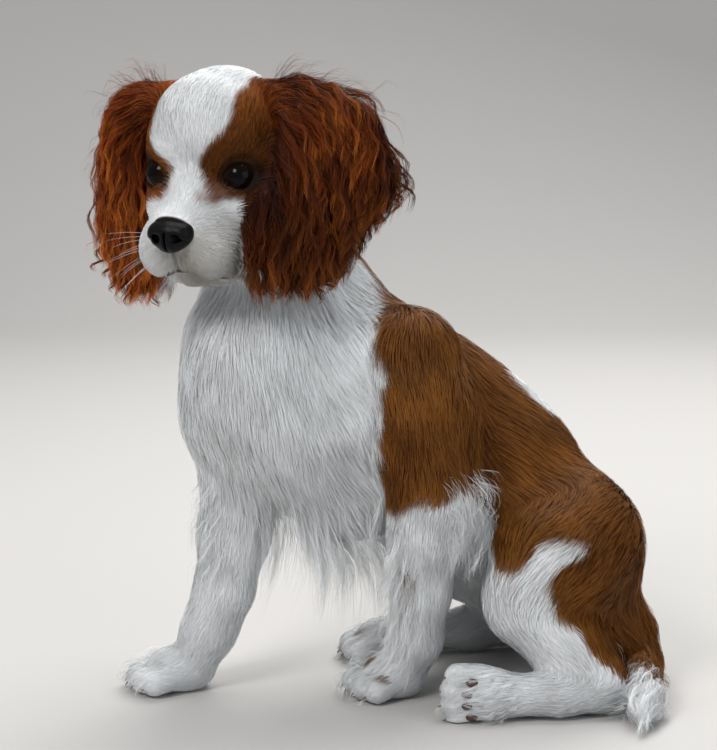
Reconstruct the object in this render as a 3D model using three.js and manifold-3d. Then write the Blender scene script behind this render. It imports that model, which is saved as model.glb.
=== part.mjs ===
// A young cavalier king charles spaniel, sitting, at life size: a still figure for a display.
// The solids are the outer form of the coat. They are faceted and meet along thin cuts of 0.3 mm.
// Lengths are millimetres. The figure is laid out with its left flank towards -Y and +Z up,
// and the exported group turns it to face -Y, with the origin under the middle of its box.
import * as THREE from "three";
import { mergeVertices } from "three/addons/utils/BufferGeometryUtils.js";
import { edgeTable, triTable } from "three/addons/objects/MarchingCubes.js";
import Module from "manifold-3d";

const wasm = await Module();
wasm.setup();

// Driving dimensions
const SEAM = 0.3; // gap left between neighbouring solids
const BODY_CELL = 24; // facet size on the trunk and upper legs
const LEG_CELL = 14; // facet size on the forearms
const HEAD_CELL = 11; // facet size on the head
const EAR_CELL = 14.5; // facet size on the ears
const PAW_CELL = 9; // facet size on the feet
const TAIL_CELL = 12.5;
const NOSE_CELL = 4.8;
const FACING = 55; // degrees that the layout turns so that the figure faces -Y
const HEAD_YAW = 24.5; // degrees that the head points to the left of the layout's -Y
const HEAD_PITCH = 8; // degrees that the muzzle tips down
const SKULL = [-76, -26, 325]; // middle of the braincase
const EYE_RADIUS = 10.5;
const EYE_PLACE = [27, 23, -14.5]; // forward, to the left and up from the middle of the skull
const NOSE_PLACE = [66, 0, -38];

const coats = {
  white: new THREE.MeshStandardMaterial({ color: 0xeeeae2, roughness: 0.85, metalness: 0 }),
  chestnut: new THREE.MeshStandardMaterial({ color: 0x8a4216, roughness: 0.8, metalness: 0 }),
  eye: new THREE.MeshStandardMaterial({ color: 0x140c08, roughness: 0.08, metalness: 0 }),
  leather: new THREE.MeshStandardMaterial({ color: 0x17161a, roughness: 0.4, metalness: 0 }),
};

// Frames: a place with its own forward, left and up directions
const rad = THREE.MathUtils.degToRad;

// The heading is in degrees to the left of -Y, seen from the layout's -Y side. Pitch tips forward down.
function frame(origin, heading, pitch = 0, roll = 0) {
  const forward = new THREE.Vector3(
    -Math.sin(rad(heading)) * Math.cos(rad(pitch)),
    -Math.cos(rad(heading)) * Math.cos(rad(pitch)),
    -Math.sin(rad(pitch)),
  );
  const flatLeft = new THREE.Vector3(Math.cos(rad(heading)), -Math.sin(rad(heading)), 0);
  const left = flatLeft.clone().applyAxisAngle(forward, rad(roll));
  const up = new THREE.Vector3().crossVectors(forward, left);
  return new THREE.Matrix4().makeBasis(forward, left, up).setPosition(...origin);
}

const headFrame = frame(SKULL, HEAD_YAW, HEAD_PITCH);
const world = new THREE.Matrix4();

// Signed distance fields: each is a function of x, y, z that is negative inside
function cone(a, b, ra, rb, place = world) {
  const start = new THREE.Vector3(...a).applyMatrix4(place);
  const along = new THREE.Vector3(...b).applyMatrix4(place).sub(start);
  const length2 = along.lengthSq();
  return (x, y, z) => {
    const px = x - start.x;
    const py = y - start.y;
    const pz = z - start.z;
    const t = Math.min(1, Math.max(0, (px * along.x + py * along.y + pz * along.z) / length2));
    const away = Math.hypot(px - t * along.x, py - t * along.y, pz - t * along.z);
    return away - (ra + (rb - ra) * t);
  };
}

function ball(centre, radius, place = world) {
  const c = new THREE.Vector3(...centre).applyMatrix4(place);
  return (x, y, z) => Math.hypot(x - c.x, y - c.y, z - c.z) - radius;
}

function egg(centre, radii, place = world) {
  const m = place.clone().multiply(new THREE.Matrix4().makeTranslation(...centre)).invert().elements;
  return (x, y, z) => {
    const u = m[0] * x + m[4] * y + m[8] * z + m[12];
    const v = m[1] * x + m[5] * y + m[9] * z + m[13];
    const w = m[2] * x + m[6] * y + m[10] * z + m[14];
    const far = Math.hypot(u / radii[0], v / radii[1], w / radii[2]);
    const slope = Math.hypot(u / radii[0] ** 2, v / radii[1] ** 2, w / radii[2] ** 2);
    return slope < 1e-9 ? -Math.min(...radii) : (far * (far - 1)) / slope;
  };
}

// A chain of cones through [x, y, z, radius] stations
function limb(stations, place = world) {
  return stations.slice(1).map((s, i) => {
    const before = stations[i];
    return cone(before.slice(0, 3), s.slice(0, 3), before[3], s[3], place);
  });
}

// One field from several, with each joint filled over a width of about soft
function blend(soft, fields) {
  return (x, y, z) => {
    let found = fields[0](x, y, z);
    for (let i = 1; i < fields.length; i++) {
      const next = fields[i](x, y, z);
      const near = Math.max(soft - Math.abs(found - next), 0) / soft;
      found = Math.min(found, next) - (near * near * soft) / 4;
    }
    return found;
  };
}

// Both sides of the body at once: f(side) gives fields for side 1, the left, and -1, the right
const pair = (f) => [...f(1), ...f(-1)];

// Head, in its own frame: forward, left, up
const H = headFrame;
const skull = [
  egg([-4, 0, 3], [42, 39, 39], H),
  egg([18, 0, 11], [25, 31, 26], H),
  egg([-18, 0, -14], [32, 37, 32], H),
];
const face = [
  ...pair((side) => [
    ball([25, side * 18, 0], 13.5, H),
    egg([12, side * 24, -10], [18, 16, 16], H),
    egg([16, side * 23, -32], [25, 17, 22], H),
    egg([50, side * 13.5, -52], [16, 13.6, 16], H),
  ]),
  cone([30, 0, -26], [57, 0, -37], 19, 14.5, H),
  egg([42, 0, -40], [22, 21, 17], H),
];
const jaw = [
  cone([49, 0, -66], [28, 0, -63], 8, 13, H),
  ...pair((side) => [cone([34, side * 13, -62], [4, side * 21, -52], 9.5, 18.5, H)]),
];
const head = blend(10, [blend(14, skull), blend(9, face), blend(8, jaw)]);

const noseFrame = headFrame.clone().multiply(new THREE.Matrix4().makeTranslation(...NOSE_PLACE));
const nose = blend(4, [
  egg([0, 0, 3], [9, 11.5, 7], noseFrame),
  egg([2.5, 0, -2], [7.5, 9.5, 8], noseFrame),
  ...pair((side) => [ball([1, side * 8, -1], 5.6, noseFrame)]),
]);
const nostrils = pair((side) => [
  cone([9, side * 5.6, -1.5], [3, side * 7.4, -2.5], 2.6, 1.6, noseFrame),
]);

// Trunk: neck, chest, loin and rump
const trunk = blend(20, [
  cone([-64, -4, 292], [-44, 4, 222], 35, 47),
  cone([-50, 2, 276], [8, 22, 210], 28, 25),
  egg([-38, 2, 182], [61, 56, 62]),
  egg([-62, -22, 190], [38, 36, 46]),
  cone([-36, 0, 158], [-12, 12, 118], 48, 31),
  egg([24, 26, 156], [64, 53, 65]),
  egg([60, 42, 150], [47, 42, 45]),
  egg([80, 32, 116], [58, 52, 59]),
  egg([124, 31, 74], [44, 56, 48]),
  egg([135, 30, 30], [38, 54, 42]),
]);

// Legs
const upperArmLeft = limb([[30, -18, 203, 31], [36, -28, 165, 33], [43, -31, 128, 26]]);
const foreArmLeft = limb([
  [43, -31, 128, 26],
  [38, -24, 98, 20.5],
  [36, -18, 64, 16.5],
  [33, -12, 36, 15.5],
]);
const elbowTuftLeft = cone([62, -28, 130], [56, -26, 92], 13, 8);
const upperArmRight = limb([[-70, 8, 205, 32], [-76, 8, 160, 26], [-70, 8, 122, 22]]);
const foreArmRight = limb([
  [-70, 8, 122, 22],
  [-73, 7, 92, 20.5],
  [-79, 5, 60, 17],
  [-88, 5, 36, 15.5],
]);

// A foot in its own frame: palm and four toes, with the sole at up = 0
function foot(place, spread, reach) {
  const toes = [-1.5, -0.5, 0.5, 1.5].map((step) => {
    const inner = 1 - Math.abs(step) / 3;
    const across = step * spread;
    return cone(
      [reach * 0.25, across * 0.8, 12.5],
      [reach * (0.72 + 0.42 * inner), across * 1.05, 8.5],
      8.5,
      7.4,
      place,
    );
  });
  return blend(3.2, [egg([0, 0, 12], [reach * 0.95, spread * 2.1, 14.5], place), ...toes]);
}
const foreFootLeft = foot(frame([20, -8, -1], 62), 8.6, 20);
const foreFootRight = foot(frame([-106, 6, -1], 66), 8.8, 22);
const hindFootRight = foot(frame([16, 71, -1], 75), 8.4, 19);

// The left hind foot lies on its side, so its sole is turned out to -Y
const hindFootLeft = foot(frame([74, -68, 14], 84, 0, 90), 7.6, 19);

const thighLeft = limb([[126, 2, 90, 43], [112, -20, 80, 39], [98, -32, 66, 27]]);
const shankLeft = limb([[97, -33, 58, 24], [118, -40, 40, 20], [136, -44, 24, 16]]);
const hockLeft = limb([[138, -48, 15, 15], [112, -54, 14, 13], [86, -57, 14, 13.5]]);
const thighRight = limb([[122, 62, 86, 40], [88, 74, 78, 34], [62, 76, 66, 27]]);
const shankRight = limb([[64, 79, 58, 22], [92, 86, 38, 18], [110, 92, 22, 16]]);
const hockRight = limb([[110, 96, 15, 15], [70, 88, 14, 13.5], [34, 77, 14, 14]]);

const legs = [
  blend(14, upperArmLeft),
  blend(14, foreArmLeft),
  elbowTuftLeft,
  blend(14, upperArmRight),
  blend(14, foreArmRight),
  blend(18, thighLeft),
  blend(14, shankLeft),
  blend(10, hockLeft),
  blend(18, thighRight),
  blend(14, shankRight),
  blend(10, hockRight),
];
const feet = [foreFootLeft, foreFootRight, hindFootRight, hindFootLeft];
const body = blend(9, [blend(16, [trunk, head]), ...legs, ...feet]);

// Ears: the fans of long hair, in the head's frame
const earLeft = blend(14, [
  cone([0, 27, 28], [0, 46, 20], 10, 15, H),
  egg([1, 46, 15], [17, 24, 22], H),
  egg([-2, 73, 12], [16, 29, 21], H),
  egg([-3, 82, -19], [17, 28, 33], H),
  egg([8, 48, -28], [20, 29, 42], H),
  egg([22, 36, -44], [17, 18, 28], H),
  egg([6, 52, -60], [17, 28, 27], H),
]);
const earRight = blend(12, [
  cone([1, -27, 25], [-2, -48, 18], 12, 16, H),
  egg([-3, -55, 8], [15, 20, 22], H),
  egg([-3, -65, -33], [15, 23, 43], H),
  egg([-1, -61, -72], [13, 21, 26], H),
]);

// Tail: down from the rump and forward along the ground
const tail = blend(12, limb([
  [150, 30, 56, 15],
  [166, 22, 34, 15],
  [166, 0, 15, 15],
  [164, -28, 13, 13.5],
  [162, -54, 12, 12],
  [158, -80, 8, 8],
]));

// Turns a field into a closed mesh: marching cubes, then a few rounds that even the facets out
function polygonise(field, low, high, cell) {
  const counts = low.map((v, i) => Math.ceil((high[i] - v) / cell) + 1);
  const [nx, ny, nz] = counts;
  const at = (i, j, k) => (k * ny + j) * nx + i;
  const inBox = (x, y, z) =>
    Math.max(low[0] - x, x - high[0], low[1] - y, y - high[1], low[2] - z, z - high[2]) + cell;
  const closed = (x, y, z) => Math.max(field(x, y, z), inBox(x, y, z));
  const values = new Float64Array(nx * ny * nz);
  const place = (i, j, k) => [low[0] + i * cell, low[1] + j * cell, low[2] + k * cell];
  for (let k = 0; k < nz; k++)
    for (let j = 0; j < ny; j++)
      for (let i = 0; i < nx; i++) values[at(i, j, k)] = closed(...place(i, j, k)) || 1e-6;

  const corners = [[0, 0, 0], [1, 0, 0], [1, 1, 0], [0, 1, 0], [0, 0, 1], [1, 0, 1], [1, 1, 1], [0, 1, 1]];
  const edges = [[0, 1], [1, 2], [2, 3], [3, 0], [4, 5], [5, 6], [6, 7], [7, 4], [0, 4], [1, 5], [2, 6], [3, 7]];
  const points = [];
  const faces = [];
  const known = new Map();
  const pointOn = (i, j, k, edge) => {
    const [a, b] = edges[edge].map((c) => corners[c].map((d, axis) => [i, j, k][axis] + d));
    const [first, second] = [at(...a), at(...b)];
    const key = first < second ? `${first}_${second}` : `${second}_${first}`;
    if (!known.has(key)) {
      const share = values[first] / (values[first] - values[second]);
      const [pa, pb] = [place(...a), place(...b)];
      known.set(key, points.length);
      points.push(pa.map((v, axis) => v + share * (pb[axis] - v)));
    }
    return known.get(key);
  };
  for (let k = 0; k < nz - 1; k++)
    for (let j = 0; j < ny - 1; j++)
      for (let i = 0; i < nx - 1; i++) {
        let code = 0;
        corners.forEach(([a, b, c], n) => {
          if (values[at(i + a, j + b, k + c)] < 0) code |= 1 << n;
        });
        if (!edgeTable[code]) continue;
        for (let n = code * 16; triTable[n] !== -1; n += 3)
          faces.push([0, 1, 2].map((m) => pointOn(i, j, k, triTable[n + m])));
      }
  evenOut(points, faces, closed, 4);
  return geometryOf(points, faces);
}

function evenOut(points, faces, field, rounds) {
  const beside = points.map(() => new Set());
  for (const [a, b, c] of faces) {
    beside[a].add(b).add(c);
    beside[b].add(a).add(c);
    beside[c].add(a).add(b);
  }
  const step = 0.05;
  for (let round = 0; round < rounds; round++) {
    const moved = points.map((p, n) => {
      const mean = [0, 0, 0];
      beside[n].forEach((m) => points[m].forEach((v, axis) => (mean[axis] += v / beside[n].size)));
      return p.map((v, axis) => v + 0.6 * (mean[axis] - v));
    });
    moved.forEach((p, n) => {
      for (let pass = 0; pass < 2; pass++) {
        const here = field(...p);
        const slope = [
          (field(p[0] + step, p[1], p[2]) - here) / step,
          (field(p[0], p[1] + step, p[2]) - here) / step,
          (field(p[0], p[1], p[2] + step) - here) / step,
        ];
        const steep = slope.reduce((sum, s) => sum + s * s, 1e-9);
        slope.forEach((s, axis) => (p[axis] -= (here * s) / Math.max(steep, 0.3)));
      }
      points[n] = p;
    });
  }
}

function geometryOf(points, faces) {
  const geometry = new THREE.BufferGeometry();
  geometry.setAttribute("position", new THREE.Float32BufferAttribute(points.flat(), 3));
  geometry.setIndex(faces.flat());
  return geometry;
}

// Between three.js geometry and manifold-3d solids
function solidOf(geometry) {
  const bare = geometry.clone();
  bare.deleteAttribute("normal");
  bare.deleteAttribute("uv");
  const merged = mergeVertices(bare, 1e-4);
  const triVerts = new Uint32Array(merged.index.array);
  const made = () =>
    new wasm.Manifold(
      new wasm.Mesh({ numProp: 3, vertProperties: merged.attributes.position.array, triVerts }),
    );
  if (made().volume() > 0) return made();
  for (let n = 0; n < triVerts.length; n += 3)
    [triVerts[n + 1], triVerts[n + 2]] = [triVerts[n + 2], triVerts[n + 1]];
  return made();
}

function geometryFrom(solid) {
  const mesh = solid.getMesh();
  const geometry = new THREE.BufferGeometry();
  const places = [];
  for (let n = 0; n < mesh.numVert; n++)
    places.push(...mesh.vertProperties.subarray(n * mesh.numProp, n * mesh.numProp + 3));
  geometry.setAttribute("position", new THREE.Float32BufferAttribute(places, 3));
  geometry.setIndex([...mesh.triVerts]);
  return geometry;
}

// The largest single body of a solid, without the slivers that a cut can leave
function largest(solid) {
  return solid.decompose().sort((a, b) => b.volume() - a.volume())[0];
}

// Cutting tools: each gives its solid, grown by a margin
const tool = {
  box: (low, high, place = world) => (grow) => {
    const size = high.map((v, i) => v - low[i] + 2 * grow);
    const box = new THREE.BoxGeometry(...size);
    box.translate(...high.map((v, i) => (v + low[i]) / 2));
    box.applyMatrix4(place);
    return solidOf(box);
  },
  egg: (centre, radii) => (grow) => {
    const egg = new THREE.SphereGeometry(1, 10, 7);
    egg.scale(...radii.map((r) => r + grow));
    egg.translate(...centre);
    return solidOf(egg);
  },
  // All that lies beyond a plane, on the side that its normal points to
  beyond: (point, normal) => (grow) => {
    const reach = 900;
    const half = new THREE.BoxGeometry(reach, reach, reach);
    half.translate(0, 0, reach / 2 - grow);
    const turn = new THREE.Quaternion().setFromUnitVectors(
      new THREE.Vector3(0, 0, 1),
      new THREE.Vector3(...normal).normalize(),
    );
    half.applyQuaternion(turn);
    half.translate(...point);
    return solidOf(half);
  },
};

const ground = tool.beyond([0, 0, 0], [0, 0, -1])(0);
const inHead = (p) => new THREE.Vector3(...p).applyMatrix4(headFrame).toArray();
const grown = (field, by) => (x, y, z) => field(x, y, z) - by;

// Eyes and nose sit in sockets that fit them
function eyeball(side, grow) {
  const sphere = new THREE.SphereGeometry(EYE_RADIUS + grow, 12, 9);
  sphere.translate(...inHead([EYE_PLACE[0], side * EYE_PLACE[1], EYE_PLACE[2]]));
  return solidOf(sphere);
}
const noseBox = [inHead(NOSE_PLACE).map((v) => v - 26), inHead(NOSE_PLACE).map((v) => v + 26)];
const noseWhole = solidOf(polygonise(nose, ...noseBox, NOSE_CELL));
const noseSocket = solidOf(polygonise(grown(nose, SEAM + 0.15), ...noseBox, NOSE_CELL));
const nostrilCuts = nostrils.map((f) => solidOf(polygonise(f, ...noseBox, NOSE_CELL / 1.6)));

// The same field at three finenesses: the trunk, the head and the feet
const headLow = [-150, -130, 215];
const headHigh = [60, 70, 385];
const sources = {
  body: solidOf(polygonise(body, [-170, -110, -38], [220, 140, 330], BODY_CELL)),
  head: solidOf(polygonise(body, headLow, headHigh, HEAD_CELL)),
  forearms: solidOf(polygonise(body, [-125, -75, 8], [85, 60, 132], LEG_CELL)),
  foreLeft: solidOf(polygonise(body, [-35, -60, -12], [85, 50, 55], PAW_CELL)),
  foreRight: solidOf(polygonise(body, [-165, -50, -12], [-35, 60, 55], PAW_CELL)),
  hindLeft: solidOf(polygonise(body, [30, -110, -12], [190, -5, 50], PAW_CELL)),
  hindRight: solidOf(polygonise(body, [-35, 25, -12], [115, 125, 50], PAW_CELL)),
};
const withoutFace = sources.head
  .subtract(eyeball(1, SEAM))
  .subtract(eyeball(-1, SEAM))
  .subtract(noseSocket);
sources.head = largest(withoutFace);

// Pieces of flesh, each taken out of its source by a tool and kept clear of the tools before it
const pieces = [
  ["muzzle", "head", tool.box([37, -60, -75], [120, 60, 20], headFrame), "white"],
  ["lower_jaw", "head", tool.box([-2, -60, -90], [60, 60, -52], headFrame), "white"],
  ["head", "head", tool.beyond([-64, -10, 262], [-0.15, -0.3, 1]), "chestnut"],
  ["neck", "body", tool.beyond([-40, 0, 224], [-0.3, -0.2, 1]), "white"],
  ["forepaw_left", "foreLeft", tool.box([-30, -28, -20], [62, 26, 33]), "white"],
  ["forearm_left", "forearms", tool.box([9, -70, 20], [68, 14, 99]), "white"],
  ["upper_arm_left", "body", tool.egg([38, -42, 162], [42, 36, 63]), "chestnut"],
  ["forepaw_right", "foreRight", tool.box([-160, -40, -20], [-50, 45, 33]), "white"],
  ["forearm_right", "forearms", tool.box([-130, -50, 20], [-45, 60, 99]), "white"],
  ["upper_arm_right", "body", tool.egg([-84, 14, 158], [30, 46, 60]), "white"],
  ["hind_foot_left", "hindLeft", tool.box([38, -100, -20], [170, -28.5, 31]), "white"],
  ["hind_foot_right", "hindRight", tool.box([-25, 42, -20], [96, 116, 31]), "white"],
  ["shank_left", "body", tool.egg([112, -46, 40], [58, 30, 24]), "white"],
  ["shank_right", "body", tool.egg([84, 92, 38], [50, 28, 24]), "white"],
  ["thigh_left", "body", tool.egg([110, -34, 88], [56, 36, 50]), "white"],
  ["thigh_right", "body", tool.egg([90, 92, 82], [62, 36, 46]), "white"],
  ["chest", "body", tool.beyond([50, 28, 134], [-0.77, 0, 0.63]), "white"],
  ["loin", "body", tool.beyond([104, 32, 92], [-0.77, 0, 0.63]), "chestnut"],
  ["rump", "body", tool.beyond([0, 0, -10], [0, 0, 1]), "chestnut"],
];

const solids = new Map();
const coatOf = new Map();
let taken = null;
for (const [name, source, cutter, coat] of pieces) {
  let piece = sources[source].intersect(cutter(0)).subtract(ground);
  if (taken) piece = piece.subtract(taken);
  solids.set(name, largest(piece));
  coatOf.set(name, coat);
  taken = taken ? taken.add(cutter(SEAM)) : cutter(SEAM);
}

// Ears and tail lie against the body, a thin gap away from it
const bodySkin = solidOf(polygonise(grown(body, SEAM + 0.5), headLow, headHigh, HEAD_CELL));
const rumpSkin = [
  solidOf(polygonise(grown(body, SEAM + 1), [80, -110, -38], [220, 120, 120], BODY_CELL)),
  solidOf(polygonise(grown(body, SEAM + 0.7), [60, -110, -20], [190, -5, 50], PAW_CELL)),
];
const clearOf = (solid, others) => others.reduce((left, other) => left.subtract(other), solid);
const earParts = [["ear_left", earLeft], ["ear_right", earRight]];
for (const [name, field] of earParts) {
  const whole = solidOf(polygonise(field, [-190, -120, 195], [70, 90, 400], EAR_CELL));
  solids.set(name, largest(clearOf(whole, [bodySkin, sources.head, sources.body])));
  coatOf.set(name, "chestnut");
}
const tailWhole = clearOf(
  solidOf(polygonise(tail, [110, -115, -20], [225, 75, 100], TAIL_CELL)),
  [ground, ...rumpSkin, sources.body, sources.hindLeft],
);
const tipCut = tool.beyond([189, -26, 14], [0, -1, 0]);
solids.set("tail", largest(tailWhole.subtract(tipCut(SEAM))));
solids.set("tail_tip", largest(tailWhole.intersect(tipCut(0))));
coatOf.set("tail", "chestnut");
coatOf.set("tail_tip", "white");

solids.set("eye_left", eyeball(1, 0));
solids.set("eye_right", eyeball(-1, 0));
coatOf.set("eye_left", "eye");
coatOf.set("eye_right", "eye");
solids.set("nose", largest(nostrilCuts.reduce((made, cut) => made.subtract(cut), noseWhole)));
coatOf.set("nose", "leather");

const figure = new THREE.Group();
for (const [name, solid] of solids) {
  const mesh = new THREE.Mesh(geometryFrom(solid), coats[coatOf.get(name)]);
  mesh.name = name;
  figure.add(mesh);
}

// Turns the layout to face -Y and sets the origin under the middle of the box, on the ground
figure.rotation.z = rad(FACING);
figure.updateMatrixWorld(true);
const box = new THREE.Box3().setFromObject(figure, true);
figure.position.set(-(box.min.x + box.max.x) / 2, -(box.min.y + box.max.y) / 2, -box.min.z);
const root = new THREE.Group();
root.add(figure);

export default root;
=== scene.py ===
# A young cavalier king charles spaniel, sitting: its skin, eyes, nose, claws and coat.
# Lengths are millimetres until a mesh is made. The layout frame has +X towards the rump, +Y towards
# the right side and +Z up. The head and each foot have a frame of their own: forward, left and up.
import math

import bmesh
import bpy
import numpy as np
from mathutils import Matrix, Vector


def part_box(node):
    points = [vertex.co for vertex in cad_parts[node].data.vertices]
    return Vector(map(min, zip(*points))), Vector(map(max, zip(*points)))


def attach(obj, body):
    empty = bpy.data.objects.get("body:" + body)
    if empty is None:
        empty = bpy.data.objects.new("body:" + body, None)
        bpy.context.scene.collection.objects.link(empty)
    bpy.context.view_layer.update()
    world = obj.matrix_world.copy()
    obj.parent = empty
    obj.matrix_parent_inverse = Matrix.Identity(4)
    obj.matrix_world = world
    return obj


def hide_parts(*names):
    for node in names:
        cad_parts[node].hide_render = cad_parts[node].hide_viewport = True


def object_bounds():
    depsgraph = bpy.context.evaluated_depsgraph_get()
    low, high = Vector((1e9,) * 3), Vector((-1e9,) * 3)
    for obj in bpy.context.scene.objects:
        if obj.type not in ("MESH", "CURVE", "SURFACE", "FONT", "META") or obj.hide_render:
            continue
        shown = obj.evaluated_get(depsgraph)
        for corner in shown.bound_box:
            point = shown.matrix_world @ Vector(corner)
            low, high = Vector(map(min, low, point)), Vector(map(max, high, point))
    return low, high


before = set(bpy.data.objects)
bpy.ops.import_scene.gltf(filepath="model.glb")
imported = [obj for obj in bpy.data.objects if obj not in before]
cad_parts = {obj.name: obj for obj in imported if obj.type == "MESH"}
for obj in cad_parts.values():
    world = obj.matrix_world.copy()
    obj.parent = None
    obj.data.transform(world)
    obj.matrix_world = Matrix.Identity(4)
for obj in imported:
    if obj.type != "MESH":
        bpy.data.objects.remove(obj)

import openvdb
from mathutils import Vector
from mathutils.kdtree import KDTree

cad_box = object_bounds()
rng = np.random.default_rng(20)

MM = 0.001
SIDES = (1, -1)  # left and right
HAIR_SHARE = 1.0  # share of the coat's strands that are grown


# Frames
def size_of(v):
    """The length of each row of v."""
    return np.linalg.norm(v, axis=-1)


def unit(v):
    return v / np.maximum(size_of(v)[..., None], 1e-9)


class Place:
    """A place with its own three directions, the rows of axes."""

    def __init__(self, origin, axes):
        self.origin = np.asarray(origin, float)
        self.axes = np.asarray(axes, float)

    def inside(self, p):
        return (p - self.origin) @ self.axes.T

    def outside(self, q):
        return self.origin + np.asarray(q, float) @ self.axes

    def turned(self, v):
        return np.asarray(v, float) @ self.axes


def turned_about(v, axis, angle):
    across = np.cross(axis, v)
    return v * math.cos(angle) + across * math.sin(angle) + axis * (axis @ v) * (1 - math.cos(angle))


FACING = math.radians(55)  # turn from the layout to the row's axes
HEAD_PITCH = math.radians(8)
SKULL = np.array([-76, -26, 325.0])  # middle of the braincase in the layout
EYE_RADIUS = 10.5
EYE_PLACE = np.array([27, 23, -14.5])
NOSE_PLACE = np.array([66, 0, -38.0])


def middle_of(node):
    low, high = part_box(node)
    return (np.array(low) + np.array(high)) / 2 / MM


def head_from_eyes():
    left = unit((middle_of("eye_left") - middle_of("eye_right")) * [1, 1, 0])
    level = np.array([left[1], -left[0], 0])
    forward = level * math.cos(HEAD_PITCH) - np.array([0, 0, math.sin(HEAD_PITCH)])
    axes = np.array([forward, left, np.cross(forward, left)])
    between = (middle_of("eye_left") + middle_of("eye_right")) / 2
    return Place(between - (EYE_PLACE * [1, 0, 1]) @ axes, axes)


def layout_from_head():
    c, s = math.cos(FACING), math.sin(FACING)
    axes = np.array([[c, s, 0], [-s, c, 0], [0, 0, 1]])
    return Place(HEAD.origin - SKULL @ axes, axes)


HEAD = head_from_eyes()
LAYOUT = layout_from_head()


def foot_place(origin, heading, roll=0):
    """The heading is in degrees to the left of the layout's -Y, and the sole lies at up = 0."""
    turn = math.radians(heading)
    forward = np.array([-math.sin(turn), -math.cos(turn), 0])
    left = turned_about(np.array([math.cos(turn), -math.sin(turn), 0]), forward, math.radians(roll))
    axes = np.array([forward, left, np.cross(forward, left)])
    return Place(LAYOUT.outside(origin), axes @ LAYOUT.axes)


# Signed distance fields of arrays of points, negative inside
FAR = 30.0  # the distance beyond which a form isn't worked out


def step_up(value, low, high):
    t = np.clip((value - low) / (high - low), 0, 1)
    return t * t * (3 - 2 * t)


def soft_min(a, b, width):
    near = np.clip(width - np.abs(a - b), 0, None) / width
    return np.minimum(a, b) - near * near * width / 4


def soft_max(a, b, width):
    return -soft_min(-a, -b, width)


class Cone:
    """A cone with round ends of two radii."""

    def __init__(self, a, b, radius_a, radius_b):
        self.a = np.array(a, float)
        self.along = np.array(b, float) - self.a
        self.radii = (radius_a, radius_b)
        widest = max(radius_a, radius_b)
        self.low = np.minimum(a, b) - widest
        self.high = np.maximum(a, b) + widest

    def __call__(self, q):
        t = np.clip((q - self.a) @ self.along / (self.along @ self.along), 0, 1)
        away = size_of(q - self.a - t[:, None] * self.along)
        return away - (self.radii[0] + (self.radii[1] - self.radii[0]) * t)


class Egg:
    """An ellipsoid with a radius along each axis."""

    def __init__(self, centre, radii):
        self.centre = np.array(centre, float)
        self.radii = np.array(radii, float)
        self.low = self.centre - self.radii
        self.high = self.centre + self.radii

    def __call__(self, q):
        near = (q - self.centre) / self.radii
        reach = size_of(near)
        slope = size_of(near / self.radii)
        return reach * (reach - 1) / np.maximum(slope, 1e-6)


class Blend:
    """One form from several, with each joint filled over a width of about soft."""

    def __init__(self, soft, parts):
        self.soft = soft
        self.parts = parts
        self.low = np.min([part.low for part in parts], axis=0)
        self.high = np.max([part.high for part in parts], axis=0)

    def __call__(self, q):
        found = np.full(len(q), FAR)
        close = np.all((q > self.low - FAR) & (q < self.high + FAR), axis=1)
        near = q[close]
        if len(near):
            value = self.parts[0](near)
            for part in self.parts[1:]:
                value = soft_min(value, part(near), self.soft)
            found[close] = np.minimum(value, FAR)
        return found


def limb(stations, thinner):
    """Cones through [x, y, z, radius of the coat] stations, thinner by the coat's depth."""
    return [
        Cone(a[:3], b[:3], a[3] - thinner, b[3] - thinner) for a, b in zip(stations, stations[1:])
    ]


def eggs(rows, thinner):
    return [Egg(row[:3], np.array(row[3:]) - thinner) for row in rows]


# Slow, smooth noise from a few waves
WAVES = unit(rng.normal(size=(20, 3))) * rng.uniform(0.5, 1.6, (20, 1))
PHASES = rng.uniform(0, 2 * math.pi, 20)


def waves(p, size):
    """Smooth noise of about -1 to 1 whose lumps are about size across."""
    return np.sin(p @ WAVES.T * (2.2 / size) + PHASES).sum(-1) / 3.2


# The skin's form: the figure's solids less the coat's depth
SKULL_DEPTH = 3.0
FACE_DEPTH = 1.4
EAR_DEPTH = 8.5
LEG_DEPTH = 2.8
PAW_DEPTH = 0.7
TRUNK_DEPTH = 5.0
CHEST_DEPTH = 8.0
TAIL_DEPTH = 9.0
SOLE_HEIGHT = 0.8  # how high the skin's underside lies over the floor

braincase = Blend(14, eggs([
    (-4, 0, 3, 42, 39, 39),
    (18, 0, 11, 25, 31, 26),
    (-18, 0, -14, 32, 37, 32),
], SKULL_DEPTH))
face = Blend(9, [
    part
    for side in SIDES
    for part in (
        Egg([25, side * 18, 0], np.full(3, 13.5 - FACE_DEPTH)),
        Egg([12, side * 24, -10], [18 - FACE_DEPTH, 16 - FACE_DEPTH, 16 - FACE_DEPTH]),
        Egg([15, side * 22.5, -32], [24 - FACE_DEPTH, 17 - FACE_DEPTH, 22 - FACE_DEPTH]),
        Egg([35, side * 16.5, -49], [15, 12.5, 13]),
    )
] + [
    Cone([30, 0, -26], [57, 0, -37], 19 - FACE_DEPTH, 14.5 - FACE_DEPTH),
    Egg([42, 0, -40], [22 - FACE_DEPTH, 21 - FACE_DEPTH, 17 - FACE_DEPTH]),
])
lip_pads = Blend(5, [Egg([51, 0, -55], [11.5, 9, 9.5])] + [
    Egg([49.5, side * 13.5, -52], [15.2, 13.4, 15.3]) for side in SIDES
])
jaw = Blend(8, [Cone([47, 0, -65.5], [28, 0, -64], 6.8, 12)] + [
    Cone([36, side * 13.5, -64], [4, side * 21, -53], 9, 17) for side in SIDES
])
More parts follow.
